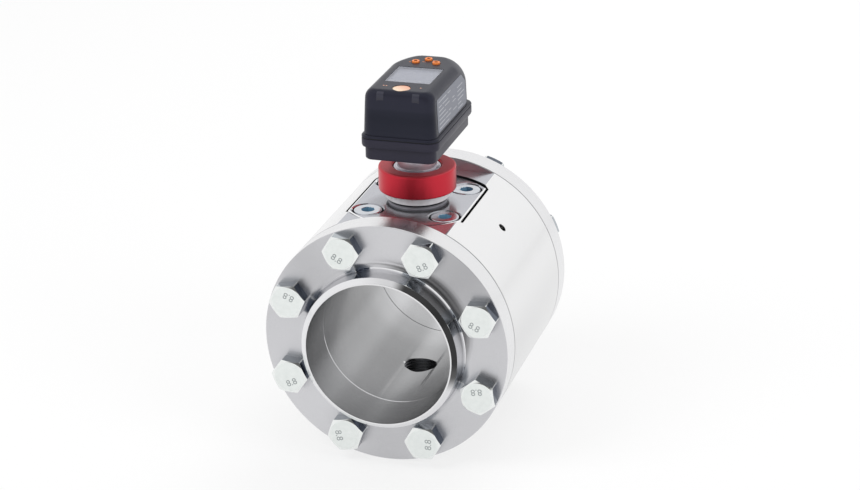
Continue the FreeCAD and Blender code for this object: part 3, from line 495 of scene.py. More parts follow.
for name, band in paintedShadeBands.items():
    mat = finishes[name]
    if "round" in band:
        shaded(mat, angleRound(mat), band["round"])
    if "out" in band:
        shaded(mat, reachOut(mat, *band["reach"]), band["out"])
    if "along" in band:
        shaded(mat, rise(mat, *band["span"]), band["along"])
shades(finishes["frontPad"], rise(finishes["frontPad"], *padFade["span"]), padFade["low"], padFade["high"])
across = slant(finishes["inlay"], inlayFade["turn"], inlayFade["move"], inlayFade["half"])
shades(finishes["inlay"], across, inlayFade["pale"], inlayFade["warm"])
print("finishes ready:", len(finishes))


# pipe section

flangeShape = {"bore": 41.25, "pipe": 44.45, "root": 46, "rim": 70, "joint": 50.5, "face": 65.5,
               "end": 80, "fillet": 3.6, "rimEdge": 0.5, "seam": 0.45, "lead": 0.3, "weldRoot": 0.9,
               "weldDeep": 2.3, "weldBreak": 0.15, "rootBreak": 0.1, "neckReach": 0.6, "bolts": 8,
               "holeRing": 59, "hole": 6.6, "drill": (-30, 10), "endWay": 0.95, "rimWay": 0.8}
boltStep = 2 * math.pi / flangeShape["bolts"]  # the first bolts stand half a step from the top


def boltPlace(at, twist=0.0):
    far = flangeShape["holeRing"] * mm
    lean = boltStep * (at + 0.5)
    seat = Matrix.Translation((far * math.sin(lean), -flangeShape["face"] * mm, far * math.cos(lean)))
    return seat @ Matrix.Rotation(math.pi / 2, 4, "X") @ Matrix.Rotation(math.radians(twist), 4, "Z")


def fromBolt(at):  # distance from the nearest bolt's axis
    lean = boltStep * (math.floor(math.atan2(at.x, at.z) / boltStep) + 0.5)
    far = flangeShape["holeRing"]
    return math.hypot(at.x - far * math.sin(lean), at.z - far * math.cos(lean))


def flangePiece(name, turn, node):
    s = flangeShape
    bore, root, rim, joint, face, end = (s[key] for key in ("bore", "root", "rim", "joint", "face", "end"))
    weldDeep = s["weldDeep"]
    weldOut = s["pipe"] + (root - s["pipe"]) * weldDeep / (end - face)  # on the neck's cone
    bm = lathe([(bore, -joint), (bore, -end), (bore + s["weldRoot"], -end), (weldOut, weldDeep - end),
                (root, -face), (rim, -face), (rim, -joint)], turnY,
               [([4], s["fillet"], 10), ([3], s["weldBreak"], 2), ([2], s["rootBreak"], 2),
                ([1], s["weldBreak"], 2), ([5], s["rimEdge"], 3), ([6], s["seam"], 1),
                ([0], s["lead"], 1)], 192)
    holes = copied(rod(s["hole"], *s["drill"], 48), [boltPlace(at) for at in range(s["bolts"])])
    piece = show(name, placed(carve(bm, holes), turn), "flange", "pipe_section", [node])
    paint(piece, "neck", lambda at, way: fromFlow(at) < root + s["neckReach"]
          and abs(at.y) > face - near and abs(way.y) < s["endWay"])
    paint(piece, "rim", lambda at, way: abs(at.y) > end - near and abs(way.y) > s["endWay"])
    paint(piece, "weldEdge", lambda at, way: abs(at.y) > end - weldDeep - near
          and fromFlow(at) > bore + s["weldRoot"] - close)
    paint(piece, "bore", lambda at, way: fromFlow(at) < bore + close and abs(at.y) < end - 2 * near)
    paint(piece, "rim", lambda at, way: fromFlow(at) > rim - s["rimEdge"] and abs(way.y) < s["rimWay"])
    paint(piece, "seam", lambda at, way: abs(at.y) < joint + s["seam"]
          and rim - s["seam"] < fromFlow(at) < rim - hair / 2)


flangePiece("inletFlange", still, "inlet_flange")
flangePiece("outletFlange", halfTurn, "outlet_flange")
print("flanges turned")

boltShape = {"corner": 10.68, "edge": 0.4, "head": 7.5, "crownFoot": 21.79, "crownTop": 8.8,
             "crownEdge": 0.5, "shank": 6, "grip": 25, "overlap": 0.3, "tipBreak": 0.8, "mark": "8.8",
             "markHigh": 5.4, "markAt": -3.6, "markProud": 0.06, "inlet": (27, 34, 8, 30, 41, 25, 36, 29),
             "outlet": (31, 12, 28, 44, 20, 33, 37, 52),  # twists in degrees, and sixths of a turn
             "sixths": (0, 5, 3, 1, 4, 0, 2, 5), "shadeFrom": 0.4, "crownWay": (0.6, 0.97)}


def hexBolt():
    s = boltShape
    head = rod(s["corner"], 0.0, s["head"], 6)
    slope = (s["crownFoot"] - s["crownTop"]) / s["head"]
    crown = lathe([(0, -1), (s["crownFoot"] + slope, -1), (s["crownTop"], s["head"]), (0, s["head"])],
                  turnZ, [([2], s["crownEdge"], 3)], 96)
    head = carve(head, crown, "INTERSECT")
    roundOff(head, along(head, 2), s["edge"], 2)
    shank = lathe([(0, s["overlap"]), (s["shank"], s["overlap"]), (s["shank"], -s["grip"]), (0, -s["grip"])],
                  turnZ, [([2], s["tipBreak"], 1)], 48)
    return carve(head, shank, "UNION")


def raisedMark():  # plain raised figures on the head
    curve = bpy.data.curves.new("mark", "FONT")
    curve.body = boltShape["mark"]
    curve.size = boltShape["markHigh"] * mm
    curve.extrude = boltShape["markProud"] * mm
    curve.offset = -hair * mm  # slightly thinner strokes
    curve.align_x = "CENTER"
    curve.align_y = "CENTER"
    item = linked("mark", curve)
    mesh = evaluated(item)
    bm = bmesh.new()
    bm.from_mesh(mesh)
    bpy.data.objects.remove(item)
    bpy.data.curves.remove(curve)
    bpy.data.meshes.remove(mesh)
    return placed(bm, Matrix.Translation((0, boltShape["markAt"] * mm, boltShape["head"] * mm)))


bolt = merged([hexBolt(), raisedMark()])
crownLow, crownHigh = boltShape["crownWay"]
for end, turn in (("inlet", still), ("outlet", halfTurn)):
    twists = [twist + 60 * sixth for twist, sixth in zip(boltShape[end], boltShape["sixths"])]
    places = [turn @ boltPlace(at, twist) for at, twist in enumerate(twists)]
    bolts = show(end + "HexBolts", copied(bolt, places), "zinc", "pipe_section", [end + "_bolts"],
                 25)
    # the hex sides are painted darker than the face: painted shade
    paint(bolts, "zincSideShaded", lambda at, way: abs(way.y) < sideOn)
    # right-facing sides of the inlet bolts and upward sides of the outlet bolts are painted near black:
    # painted shade and reflection
    paint(bolts, "zincShade", lambda at, way: abs(way.y) < sideOn
          and (way.x if at.y < 0 else way.z) > boltShape["shadeFrom"])
    # the crown chamfer takes a smoother zinc, and the rounded hex corners are painted bright: a painted
    # highlight between the shaded sides
    paint(bolts, "zincEdgeHighlight", lambda at, way: crownLow < abs(way.y) < crownHigh
          or abs(way.y) < sideOn and fromBolt(at) > boltShape["corner"] - boltShape["edge"])
    paint(bolts, "zincMark", lambda at, way: abs(at.y) > flangeShape["face"] + boltShape["head"] + hair)
bolt.free()
print("bolts set")

bodyShape = {"bore": 41.25, "rim": 70, "half": 50.5, "flat": 62.5, "pocketFloor": 50,
             "pocket": (43.6, 34.2), "probeHole": 9.3, "probeSpan": (30, 55), "port": 9.3,
             "portSpan": (-75, -34), "portFace": (14, 68.4), "pitch": 1.8, "threadDeep": 0.9,
             "flank": 0.45, "sideHole": 2.5, "sideSpan": (58, 75), "sideTurn": 45, "seam": 0.45,
             "lead": 0.3, "outside": 75}


def threadCutter():  # rings of a thread, cut from the port's wall
    s = bodyShape
    core, pitch = s["port"], s["pitch"]
    flank = pitch * s["flank"]
    low, high = s["portSpan"]
    edge = [(0, low), (core, low)]
    at = low + pitch
    while at < high - pitch:
        edge += [(core, at), (core + s["threadDeep"], at + flank), (core, at + 2 * flank)]
        at += pitch
    return lathe(edge + [(core, high), (0, high)], turnZ, (), 72)


def measuringBody():
    s = bodyShape
    bore, rim, half = s["bore"], s["rim"], s["half"]
    bm = lathe([(bore, -half), (rim, -half), (rim, half), (bore, half)], turnY,
               [([1, 2], s["seam"], 1), ([0, 3], s["lead"], 1)], 240)
    cutEdges = cutOff(bm, (0, 0, s["flat"] * mm), (0, 0, 1))
    bmesh.ops.contextual_create(bm, geom=[e for e in cutEdges if isinstance(e, bmesh.types.BMEdge)])
    bm = carve(tidied(bm), flatSided(*s["pocket"], s["pocketFloor"], s["outside"]))
    bm = carve(bm, rod(s["probeHole"], *s["probeSpan"]))
    bm = carve(bm, threadCutter())
    bm = carve(bm, rod(s["portFace"][0], -s["outside"], -s["portFace"][1]))
    side = rod(s["sideHole"], *s["sideSpan"], 32)
    return carve(bm, placed(side, Matrix.Rotation(math.radians(s["sideTurn"]), 4, "Y")))


def paintBody(piece):
    s = bodyShape
    bore, rim, half = s["bore"], s["rim"], s["half"]
    wide, straight = s["pocket"]
    paint(piece, "bore", lambda at, way: fromFlow(at) < bore + s["lead"])
    paint(piece, "plate", lambda at, way: at.z > s["flat"] - hair / 2 and way.z > flatOn)
    paint(piece, "seam", lambda at, way: abs(at.y) > half - s["seam"]
          and rim - s["seam"] < fromFlow(at) < rim - hair / 2)
    # the threaded port is painted darker: painted shade inside the hole
    paint(piece, "portShade", lambda at, way: fromStem(at) < s["port"] + s["threadDeep"] + s["lead"]
          and at.z < 0 and abs(way.z) < flatOn and fromFlow(at) > bore + s["lead"] + near)
    # the bore's edge chamfer takes the bright polish: a painted highlight line
    paint(piece, "neck", lambda at, way: abs(at.y) > half - s["lead"] + hair
          and bore + hair < fromFlow(at) < bore + s["lead"] - hair)
    # the pocket's side walls are painted near black: painted shadow in the gap round the plate
    paint(piece, "gapShade", lambda at, way: abs(way.z) < sideOn and at.z > s["pocketFloor"]
          and abs(at.x) < straight + near and fromStem(at) < wide + near)


paintBody(show("measuringBlock", measuringBody(), "body", "pipe_section", ["measuring_body"]))
print("measuring body cut")

plateShape = {"disc": (42.4, 33), "low": 50, "top": 62, "edge": 1, "edgeFrom": (41, 31.5),
              "wallFrom": (42, 32.5), "boss": (16.8, 18), "bossLow": 55, "bossFoot": (63.4, 64.6),
              "bossTop": 76, "bossEdges": (0.25, 0.8), "hole": 9.3, "holeSpan": (45, 80),
              "screwAt": 22.4, "sink": 8.9, "sinkFloor": 55, "sinkBreak": (0.7, 0.6), "sinkOut": 70,
              "screwHole": 5.5, "screwSpan": (45, 56), "underWay": -0.4, "edgeWay": (0.2, 0.99)}
screwShape = {"head": 8, "seat": 55, "top": 62, "edge": 0.6, "shank": 5, "overlap": 0.5, "tip": 42.4,
              "socket": 4.04, "deep": 4, "funnel": (0.55, 0.3), "twists": (12, 40, 22, 4)}
screwPlaces = [shift(x * plateShape["screwAt"], y * plateShape["screwAt"])
               for x, y in ((1, 1), (-1, 1), (-1, -1), (1, -1))]


def mountingPlate():
    s = plateShape
    top, sink = s["top"], s["sink"]
    bm = flatSided(*s["disc"], s["low"], top)
    roundOff(bm, levelEdges(bm, top), s["edge"], 2)
    foot, wide = s["boss"]
    footTop, wideLow = s["bossFoot"]
    low, high = s["bossLow"], s["bossTop"]
    lowEdge, topEdge = s["bossEdges"]
    boss = lathe([(0, low), (foot, low), (foot, footTop), (wide, wideLow), (wide, high), (0, high)], turnZ,
                 [([3], lowEdge, 2), ([4], topEdge, 2)], 128)
    bm = carve(bm, boss, "UNION")
    bm = carve(bm, rod(s["hole"], *s["holeSpan"]))
    floor, out = s["sinkFloor"], s["sinkOut"]
    breakOut, breakDeep = s["sinkBreak"]
    sinkRim = lathe([(0, floor), (sink, floor), (sink, top - breakDeep), (sink + breakOut, top + near),
                     (sink + breakOut, out), (0, out)], turnZ, (), 96)
    bm = carve(bm, copied(sinkRim, screwPlaces))
    return carve(bm, copied(rod(s["screwHole"], *s["screwSpan"], 48), screwPlaces))


def capScrew():
    s = screwShape
    top, socket = s["top"], s["socket"]
    bm = lathe([(0, s["seat"]), (s["shank"], s["seat"]), (s["head"], s["seat"]), (s["head"], top), (0, top)],
               turnZ, [([3], s["edge"], 3)], 96)
    bm = carve(bm, rod(s["shank"], s["tip"], s["seat"] + s["overlap"], 48), "UNION")
    key = rod(socket, top - s["deep"], top + 1, 6)
    inset, deep = s["funnel"]
    funnel = lathe([(0, top - deep), (socket - inset, top - deep), (socket - near, top + near),
                    (0, top + near)], turnZ, (), 48)
    return carve(carve(bm, key), funnel)


def inSocket(at):
    aside = plateShape["screwAt"]
    return math.hypot(abs(at.x) - aside, abs(at.y) - aside) < screwShape["socket"] + near


def onRim(at, start):  # past a radius or past a straight side
    wide, straight = start
    return abs(at.x) > straight or fromStem(at) > wide


def paintPlate(piece):
    s = plateShape
    top = s["top"]
    footTop, wideLow = s["bossFoot"]
    edgeLow, edgeHigh = s["edgeWay"]
    paint(piece, "boss", lambda at, way: at.z > top + near)
    # the boss's foot is painted a dim grey: painted shade under the ring
    paint(piece, "footShade", lambda at, way: top + close < at.z < wideLow - 3 * near
          and abs(way.z) < flatOn)
    # the ring's downward chamfer is painted near black: a painted shadow line under the ring
    paint(piece, "gapShade", lambda at, way: at.z > footTop - near and way.z < s["underWay"])
    # the plate's edge rounding is painted bright: a painted highlight line
    paint(piece, "plateEdgeHighlight", lambda at, way: top - s["edge"] < at.z < top - hair
          and edgeLow < way.z < edgeHigh and onRim(at, s["edgeFrom"]))
    # the plate's side walls are painted near black: painted shadow in the gap to the body
    paint(piece, "gapShade", lambda at, way: abs(way.z) < edgeLow and at.z < top - s["edge"] / 2
          and onRim(at, s["wallFrom"]))


paintPlate(show("sensorPlate", mountingPlate(), "plate", "pipe_section", ["mounting_plate"]))
screw = capScrew()
turned = [place @ Matrix.Rotation(math.radians(twist), 4, "Z")
          for place, twist in zip(screwPlaces, screwShape["twists"])]
screws = show("plateCapScrews", copied(screw, turned), "screw", "pipe_section", ["plate_screws"])
screw.free()
paint(screws, "screwKey", lambda at, way: at.z < screwShape["top"] - near and inSocket(at))
paint(screws, "screwWall", lambda at, way: at.z < screwShape["top"] - 4 * near
      and abs(way.z) < sideOn and inSocket(at))
print("plate and screws fitted")

nutShape = {"outer": 22, "low": 69.4, "top": 83.2, "lip": 13.9, "thread": 18.15, "shelf": 79,
            "topEdge": 1.3, "lipEdge": 1, "lowEdge": 0.7, "threadEdge": 0.4, "topWay": 0.6}
stemShape = {"bore": 4, "top": 105, "collarEdge": 0.4, "shoulderEdge": 0.7, "neckRoot": 0.5,
             "neckEdge": 0.7,
             "steps": ((8.9, 44), (6.9, 53.4), (8.9, 56.6),  # radius from a height: shaft, seal groove
                       (17.4, 76), (13.5, 79), (11.2, 82.6),  # collar, shoulder, neck
                       (9, 95.6), (8.2, 101.5), (9, 102.5))}  # spigot, clip groove


def unionNut():
    s = nutShape
    low, top, shelf = s["low"], s["top"], s["shelf"]
    return lathe([(s["thread"], low), (s["outer"], low), (s["outer"], top), (s["lip"], top),
                  (s["lip"], shelf), (s["thread"], shelf)], turnZ,
                 [([2], s["topEdge"], 6), ([3], s["lipEdge"], 4), ([1], s["lowEdge"], 4),
                  ([0], s["threadEdge"], 2)], 160)


def sensorStem():
    s = stemShape
    lows = [low for radius, low in s["steps"]]
    outline = [(s["bore"], lows[0])]
    for (radius, low), high in zip(s["steps"], lows[1:] + [s["top"]]):
        outline += [(radius, low), (radius, high)]
    return lathe(outline + [(s["bore"], s["top"])], turnZ,
                 [([10], s["shoulderEdge"], 4), ([11], s["neckRoot"], 4), ([12], s["neckEdge"], 2),
                  ([8], s["collarEdge"], 2)], 144)


nut = show("redUnionNut", unionNut(), "nut", "pipe_section", ["union_nut"])
paint(nut, "nutTop", lambda at, way: way.z > nutShape["topWay"])
show("polishedStem", sensorStem(), "stem", "pipe_section", ["sensor_stem"])
for kind, slot, names in (("probe", "probe_steel", "probe_tube heated_tip reference_tip"),
                          ("rubber", "seal_rubber", "inlet_seal outlet_seal plate_seal stem_seal"),
                          ("washer", "washer_plastic", "swivel_washer"),
                          ("screw", "screw_steel", "swivel_clip")):
    for node in names.split():
        smoothed(node, kind, "pipe_section")
print("nut, stem and probe in place")


# display head

baseShape = {"halfX": 20.4, "front": -34.4, "rear": 38.3, "low": 95.9, "top": 108.4, "corner": 5,
             "edge": 1.2, "ridgeX": 22.3, "ridgeFront": -36.3, "ridgeRear": 40.2, "ridgeLow": 103.2,
             "ridgeCorner": 6.5, "ridgeEdge": 1.3, "ridgeTopEdge": 0.5, "bore": 9.05,
             "boreSpan": (90, 101.4), "sinkX": 15.4, "sinkY": (-29.25, 33.15), "sink": 3.15,
             "sinkSpan": (90, 99.4)}


def ridgeBlock(low, high, levels):  # the flange between both halves of the head
    s = baseShape
    return roundedBlock((-s["ridgeX"], s["ridgeFront"], low), (s["ridgeX"], s["ridgeRear"], high),
                        s["ridgeCorner"], 8, levels)


def headBase():
    s = baseShape
    bm = roundedBlock((-s["halfX"], s["front"], s["low"]), (s["halfX"], s["rear"], s["top"]), s["corner"], 8,
                      [(s["low"], s["edge"], 4)])
    ridge = ridgeBlock(s["ridgeLow"], s["top"],
                       [(s["ridgeLow"], s["ridgeEdge"], 2), (s["top"], s["ridgeTopEdge"], 2)])
    bm = carve(bm, ridge, "UNION")
    bm = carve(bm, rod(s["bore"], *s["boreSpan"]))
    sinks = [shift(x, y) for x in (s["sinkX"], -s["sinkX"]) for y in reversed(s["sinkY"])]
    return carve(bm, copied(rod(s["sink"], *s["sinkSpan"], 32), sinks))


coverShape = {"halfX": 21, "front": -35, "rear": 38.9, "low": 109, "top": 136.5, "shoulder": 5,
              "crown": 19.5, "crownFrom": 16, "rearTop": 7.1, "rearCorner": 10, "frontTop": 2.4,
              "frontCorner": 5.5, "mesh": 0.8, "draft": 1.3, "brow": (10, 1.5), "browFrom": -22,
              "browFade": 10, "lipTop": 110.5, "lipEdge": 1.35, "outside": 140}


def drop(reach, radius):  # how far a rounding of this radius has fallen back, this far into it
    inside = min(max(reach, 0.0), radius)
    return radius - math.sqrt(max(radius * radius - inside * inside, 0.0))


def coverPoint(spot):  # a point of the plain box moved onto the moulded shape
    s = coverShape
    x, y, z = (c / mm for c in spot)
    rearZone, frontZone = s["rear"] - s["rearCorner"], s["front"] + s["frontCorner"]
    if y > rearZone:  # rows close up toward the rounded ends
        y = rearZone + s["rearCorner"] * math.sin((y - rearZone) / s["rearCorner"] * math.pi / 2)
    if y < frontZone:
        y = frontZone - s["frontCorner"] * math.sin((frontZone - y) / s["frontCorner"] * math.pi / 2)
    halfX = s["halfX"] - drop(y - rearZone, s["rearCorner"]) - drop(frontZone - y, s["frontCorner"])
    top = (s["top"] - drop(y - (s["rear"] - s["rearTop"]), s["rearTop"])
           - drop(s["front"] + s["frontTop"] - y, s["frontTop"]))
    grown = min(max((y - s["crownFrom"]) / (s["rear"] - s["crownFrom"]), 0.0), 1.0) ** 1.5
    radius = min(s["shoulder"] + (s["crown"] - s["shoulder"]) * grown, halfX)
    x *= halfX / s["halfX"]
    z = s["low"] + (z - s["low"]) * (top - s["low"]) / (s["top"] - s["low"])
    outX, outZ = abs(x) - (halfX - radius), z - (top - radius)
    if outX > 0 and outZ > 0:
        scale = max(outX, outZ) / math.hypot(outX, outZ)
        x = math.copysign(halfX - radius + outX * scale, x)
        z = top - radius + outZ * scale
    x *= 1 - s["draft"] / s["halfX"] * (z - s["low"]) / (s["top"] - s["low"])  # sides lean in toward the top
    browHigh, browBack = s["brow"]
    lean = max(0.0, (z - s["top"] + browHigh) / browHigh) ** 2 * browBack  # front leans back at its top
    y += lean * min(1.0, max(0.0, (s["browFrom"] - y) / s["browFade"]))
    return Vector((x, y, z)) * mm


windowShape = {"x": 13.1, "front": -16.7, "rear": 10.9, "floor": 134, "corner": 0.6,
               "face": (134.1, 135.05, 0.15), "pane": (135.1, 136.3, 0.1)}  # low, high, inset
inlayShape = {"y": -26.8, "r": 5, "gap": 0.12, "low": 135.6, "top": 136.4, "flat": 3, "fall": 0.1,
              "edge": 0.25}
lightShape = {"x": (-10.9, -9.3, 10.3), "y": -24.5, "r": 0.55, "low": 131.5, "top": 136.5, "edge": 0.2,
              "hole": 0.6, "holeLow": 134}
keyShape = {"low": 129.9, "foot": 131.4, "footR": 3.2, "r": 2.2, "top": 137.6, "edge": 0.5, "dishR": 1.05,
            "dish": 136.6, "dishEdge": 0.25, "way": 2.5, "wayLow": 131.5}
keySpots = {"left_key": (-6, 20), "rear_key": (0, 25.5), "right_key": (6, 20)}
lightSpots = [shift(x, lightShape["y"]) for x in lightShape["x"]]


def windowBlock(low, high, inset=0.0):
    w = windowShape
    return roundedBlock((inset - w["x"], w["front"] + inset, low), (w["x"] - inset, w["rear"] - inset, high),
                        w["corner"], 3)


def headCover():
    s = coverShape
    bm = block((-s["halfX"], s["front"], s["low"]), (s["halfX"], s["rear"], s["top"]))
    for axis in range(3):
        edges = along(bm, axis)
        cuts = round(max(e.calc_length() for e in edges) / mm / s["mesh"])
        bmesh.ops.subdivide_edges(bm, edges=edges, cuts=cuts, use_grid_fill=True)
    for v in bm.verts:
        v.co = coverPoint(v.co)
    lip = ridgeBlock(s["low"], s["lipTop"], [(s["lipTop"], s["lipEdge"], 5)])
    bm = carve(tidied(bm), lip, "UNION")
    bm = carve(bm, windowBlock(windowShape["floor"], s["outside"]))
    bed = rod(inlayShape["r"] + inlayShape["gap"], inlayShape["low"], s["outside"], 64)
    bm = carve(bm, placed(bed, shift(0, inlayShape["y"])))
    keyWay = rod(keyShape["way"], keyShape["wayLow"], s["outside"], 40)
    bm = carve(bm, copied(keyWay, [shift(x, y) for x, y in keySpots.values()]))
    return carve(bm, copied(rod(lightShape["hole"], lightShape["holeLow"], s["outside"], 20), lightSpots))


show("headLower", headBase(), "headLow", "head", ["head_base"])
show("headUpper", headCover(), "head", "head", ["head_cover"], 40)
print("head moulded")


def keyCap():
    s = keyShape
    r, top, dishR, dish = s["r"], s["top"], s["dishR"], s["dish"]
    return lathe([(0, s["low"]), (s["footR"], s["low"]), (s["footR"], s["foot"]), (r, s["foot"]), (r, top),
                  (dishR, top), (dishR, dish), (0, dish)], turnZ,
                 [([4], s["edge"], 5), ([5], s["dishEdge"], 3)], 48)


def roundInlay():
    s = inlayShape
    bm = lathe([(0, s["low"]), (s["r"], s["low"]), (s["r"], s["top"] - s["fall"]), (s["flat"], s["top"]),
                (0, s["top"])], turnZ, [([2], s["edge"], 3)], 64)
    return placed(bm, shift(0, s["y"]))


def lightRods():
    s = lightShape
    rodMesh = lathe([(0, s["low"]), (s["r"], s["low"]), (s["r"], s["top"]), (0, s["top"])], turnZ,
                    [([2], s["edge"], 3)], 24)
    return copied(rodMesh, lightSpots)


for node, (x, y) in keySpots.items():
    key = show(node.split("_")[0] + "PushKey", placed(keyCap(), shift(x, y)), "keys", node, [node])
    paint(key, "keyWell", lambda at, way: at.z < keyShape["top"] - 3 * near
          and math.hypot(at.x - x, at.y - y) < keyShape["dishR"] + hair)
show("roundBadge", roundInlay(), "inlay", "head", ["round_inlay"])
show("statusRods", lightRods(), "light", "head", ["status_lights"])
show("displayFace", windowBlock(*windowShape["face"]), "panel", "head", ["display_panel"])
show("displayPane", windowBlock(*windowShape["pane"]), "window", "head", ["display_window"])

labelShape = {"corners": ((-27.5, 112), (28.4, 112), (28.4, 125), (21, 131), (-27.5, 131)),
              "x": 20.98, "thick": 0.2, "round": 1.5, "barHigh": 0.5, "barThick": 0.02,
              "rows": {128.4: ((-24.5, -9), (-6.5, -1)),  # height: bars from one y to another
                       125.6: ((-24.5, -18.5), (-17, -6), (12, 22.5)),
                       123.2: ((-24.5, -15), (-13, -4), (2, 6), (12, 20)),
                       120.8: ((-24.5, -11.5), (2, 8), (12, 25)),
                       118.4: ((-24.5, -8), (-6, -1.5), (12, 23)),
                       116: ((-24.5, -13.5), (-12, -3), (2, 9), (12, 18.5)),
                       113.6: ((-24.5, -6.5), (12, 21))}}
leanIn = Matrix.Identity(4)  # the label follows the cover's leaning side
leanIn[0][2] = -coverShape["draft"] / (coverShape["top"] - coverShape["low"])
leanIn[0][3] = -leanIn[0][2] * coverShape["low"] * mm


def sidePatch(corners, x, thick, rounding=0.0):  # a flat patch on the right side, outlined as (y, z)
    bm = bmesh.new()
    spots = [bm.verts.new((x * mm, y * mm, z * mm)) for y, z in corners]
    bm.faces.new(spots)
    if rounding:
        roundOff(bm, spots, rounding, 4, "VERTICES")
    return placed(extruded(bm, (thick * mm, 0, 0)), leanIn)


def labelBars():
    s = labelShape
    bars = []
    for z, row in s["rows"].items():
        top = z + s["barHigh"]
        for a, b in row:
            bars.append(sidePatch(((a, z), (b, z), (b, top), (a, top)), s["x"] + s["thick"], s["barThick"]))
    return merged(bars)


label = sidePatch(labelShape["corners"], labelShape["x"], labelShape["thick"], labelShape["round"])
show("ratingFilm", label, "label", "head", ["rating_label"])
show("labelBars", labelBars(), "print", "head", [])

markShape = {"low": 136.48, "top": 136.53,
             "spots": (((-9.6, 19.2), (-9.2, 20.8)), ((-2.6, 21.2), (-0.6, 21.6)),
                       ((3, 24), (3.4, 25.4)))}
marks = [block((*a, markShape["low"]), (*b, markShape["top"])) for a, b in markShape["spots"]]
show("keyMarks", merged(marks), "keys", "head", [])
padShape = {"x": 10.1, "half": 2, "low": 133.3, "high": 138.2, "proud": 0.04}


def frontPads():  # two smoky windows that follow the cover's front
    s, c = padShape, coverShape
    flat = c["halfX"] / (c["halfX"] - c["frontCorner"])
    parts = []
    for side in (-1, 1):
        bm = bmesh.new()
        bmesh.ops.create_grid(bm, x_segments=4, y_segments=8, size=0.5)
        stretch = Matrix.Diagonal((2 * s["half"] * flat * mm, (s["high"] - s["low"]) * mm, 1, 1))
        middle = Vector((side * s["x"] * flat, c["front"], (s["low"] + s["high"]) / 2)) * mm
        placed(bm, Matrix.Translation(middle) @ Matrix.Rotation(math.pi / 2, 4, "X") @ stretch)
        for v in bm.verts:
            over = max(0.0, v.co.z - c["top"] * mm)  # the upper end turns over the cover's top edge
            wide = v.co.x / flat
            v.co = coverPoint(v.co + Vector((0, over, -over))) + Vector((0, -s["proud"], s["proud"])) * mm
            v.co.x = wide
        parts.append(bm)
    return merged(parts)


show("frontWindows", frontPads(), "frontPad", "head", [])
for node, kind, slot in (("head_gasket", "rubber", "seal_rubber"), ("cover_screws", "screw", "screw_steel"),
                         ("circuit_board", "board", "board_green"), ("key_mat", "rubber", "seal_rubber"),
                         ("socket_shell", "socket", "socket_brass"),
                         ("socket_nut", "socket", "socket_brass"),
                         ("socket_insert", "rubber", "insert_black"), ("socket_pins", "pins", "pin_gold")):
    smoothed(node, kind, "head")
print("head dressed")


# studio, in metres

studio = {"floor": -0.0704, "floorSize": 6.0, "floorColor": (0.93, 0.93, 0.93),
          "floorLift": 0.68, "worldLight": 0.68, "darkEnd": (0.29, -0.957, 0.0), "darkSide": (0.62, 0.88),
          "darkRise": (0.1, 0.25), "darkLevel": 0.12, "camera": (0.380837, -1.239279, 0.551497),
          "cameraTurn": (68.2331, 0.7775, 16.4826), "lens": 102.49, "sensor": 36.0, "farEnd": 20.0,
          "aim": (0, 0, 0.03)}
lamps = {"keySoftbox": ((-0.9, -0.9, 1.3), 0.9, 9.0), "fillSoftbox": ((1.3, -0.5, 0.9), 0.8, 5.0),
         "rearSoftbox": ((0.2, 1.2, 1.2), 0.9, 7.0)}  # place, size, power


def studioFloor():
    bm = bmesh.new()
    bmesh.ops.create_grid(bm, x_segments=2, y_segments=2, size=studio["floorSize"])
    bmesh.ops.translate(bm, verts=bm.verts[:], vec=(0, 0, studio["floor"]))
    floor = linked("studioFloor", meshOf("studioFloor", bm))
    mat = plainFinish("floorWhite", studio["floorColor"], metallic=0, roughness=0.9)
    floor.data.materials.append(mat)
    seen = add(mat, "LightPath").outputs  # nearly white to the camera and in polished faces
    either = worked(mat, "Math", "MAXIMUM", seen["Is Camera Ray"], seen["Is Glossy Ray"])
    lift = worked(mat, "Math", "MULTIPLY", either, studio["floorLift"])
    white = add(mat, "Emission", Strength=1.0)
    blend = add(mat, "MixShader")
    wire(mat, lift, blend.inputs[0])
    wire(mat, mat.node_tree.nodes["Principled BSDF"].outputs[0], blend.inputs[1])
    wire(mat, white.outputs[0], blend.inputs[2])
    wire(mat, blend.outputs[0], mat.node_tree.nodes["Material Output"].inputs["Surface"])


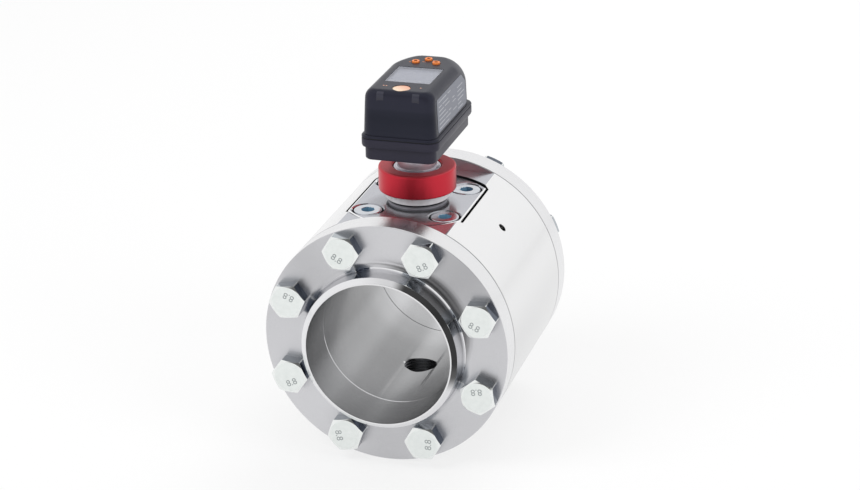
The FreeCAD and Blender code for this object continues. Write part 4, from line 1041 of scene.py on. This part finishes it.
def studioWorld():
    world = bpy.data.worlds.new("studioWorld")
    scene.world = world
    world.use_nodes = True
    sky = world.node_tree.nodes["Background"]
    sky.inputs["Color"].default_value = (1, 1, 1, 1)
    way = add(world, "TexCoord").outputs["Generated"]
    facing = worked(world, "VectorMath", "DOT_PRODUCT", way, studio["darkEnd"])
    parts = add(world, "SeparateXYZ")
    wire(world, way, parts.inputs[0])
    aside = spread(world, facing, 0, 1, *studio["darkSide"], "SMOOTHSTEP")
    above = spread(world, parts.outputs["Z"], 0, 1, *studio["darkRise"], "SMOOTHSTEP")
    both = worked(world, "Math", "MULTIPLY", aside, above)
    dim = spread(world, both, 1, studio["darkLevel"], 0, 1, "SMOOTHSTEP")
    path = add(world, "LightPath").outputs
    mirrored = add(world, "Mix")  # polished faces see the studio's unlit end
    mirrored.inputs[2].default_value = studio["worldLight"]
    wire(world, path["Is Glossy Ray"], mirrored.inputs[0])
    wire(world, dim, mirrored.inputs[3])
    clear = worked(world, "Math", "MAXIMUM", path["Is Camera Ray"], path["Is Transmission Ray"])
    level = add(world, "Mix")
    level.inputs[3].default_value = 1.0
    wire(world, clear, level.inputs[0])
    wire(world, mirrored.outputs[0], level.inputs[2])
    wire(world, level.outputs[0], sky.inputs["Strength"])


def softbox(name, place, size, power):
    lamp = bpy.data.lights.new(name, "AREA")
    lamp.size = size
    lamp.energy = power
    item = linked(name, lamp)
    item.location = place
    item.visible_glossy = False
    item.rotation_euler = (Vector(studio["aim"]) - Vector(place)).to_track_quat("-Z", "Y").to_euler()


def photoCamera():
    camera = bpy.data.cameras.new("photoCamera")
    camera.lens = studio["lens"]
    camera.sensor_width = studio["sensor"]
    camera.clip_end = studio["farEnd"]
    eye = linked("photoCamera", camera)
    eye.location = studio["camera"]
    eye.rotation_euler = [math.radians(a) for a in studio["cameraTurn"]]
    scene.camera = eye


studioFloor()
studioWorld()
for name, (place, size, power) in lamps.items():
    softbox(name, place, size, power)
photoCamera()
scene.view_settings.view_transform = "Standard"
print("studio lit")
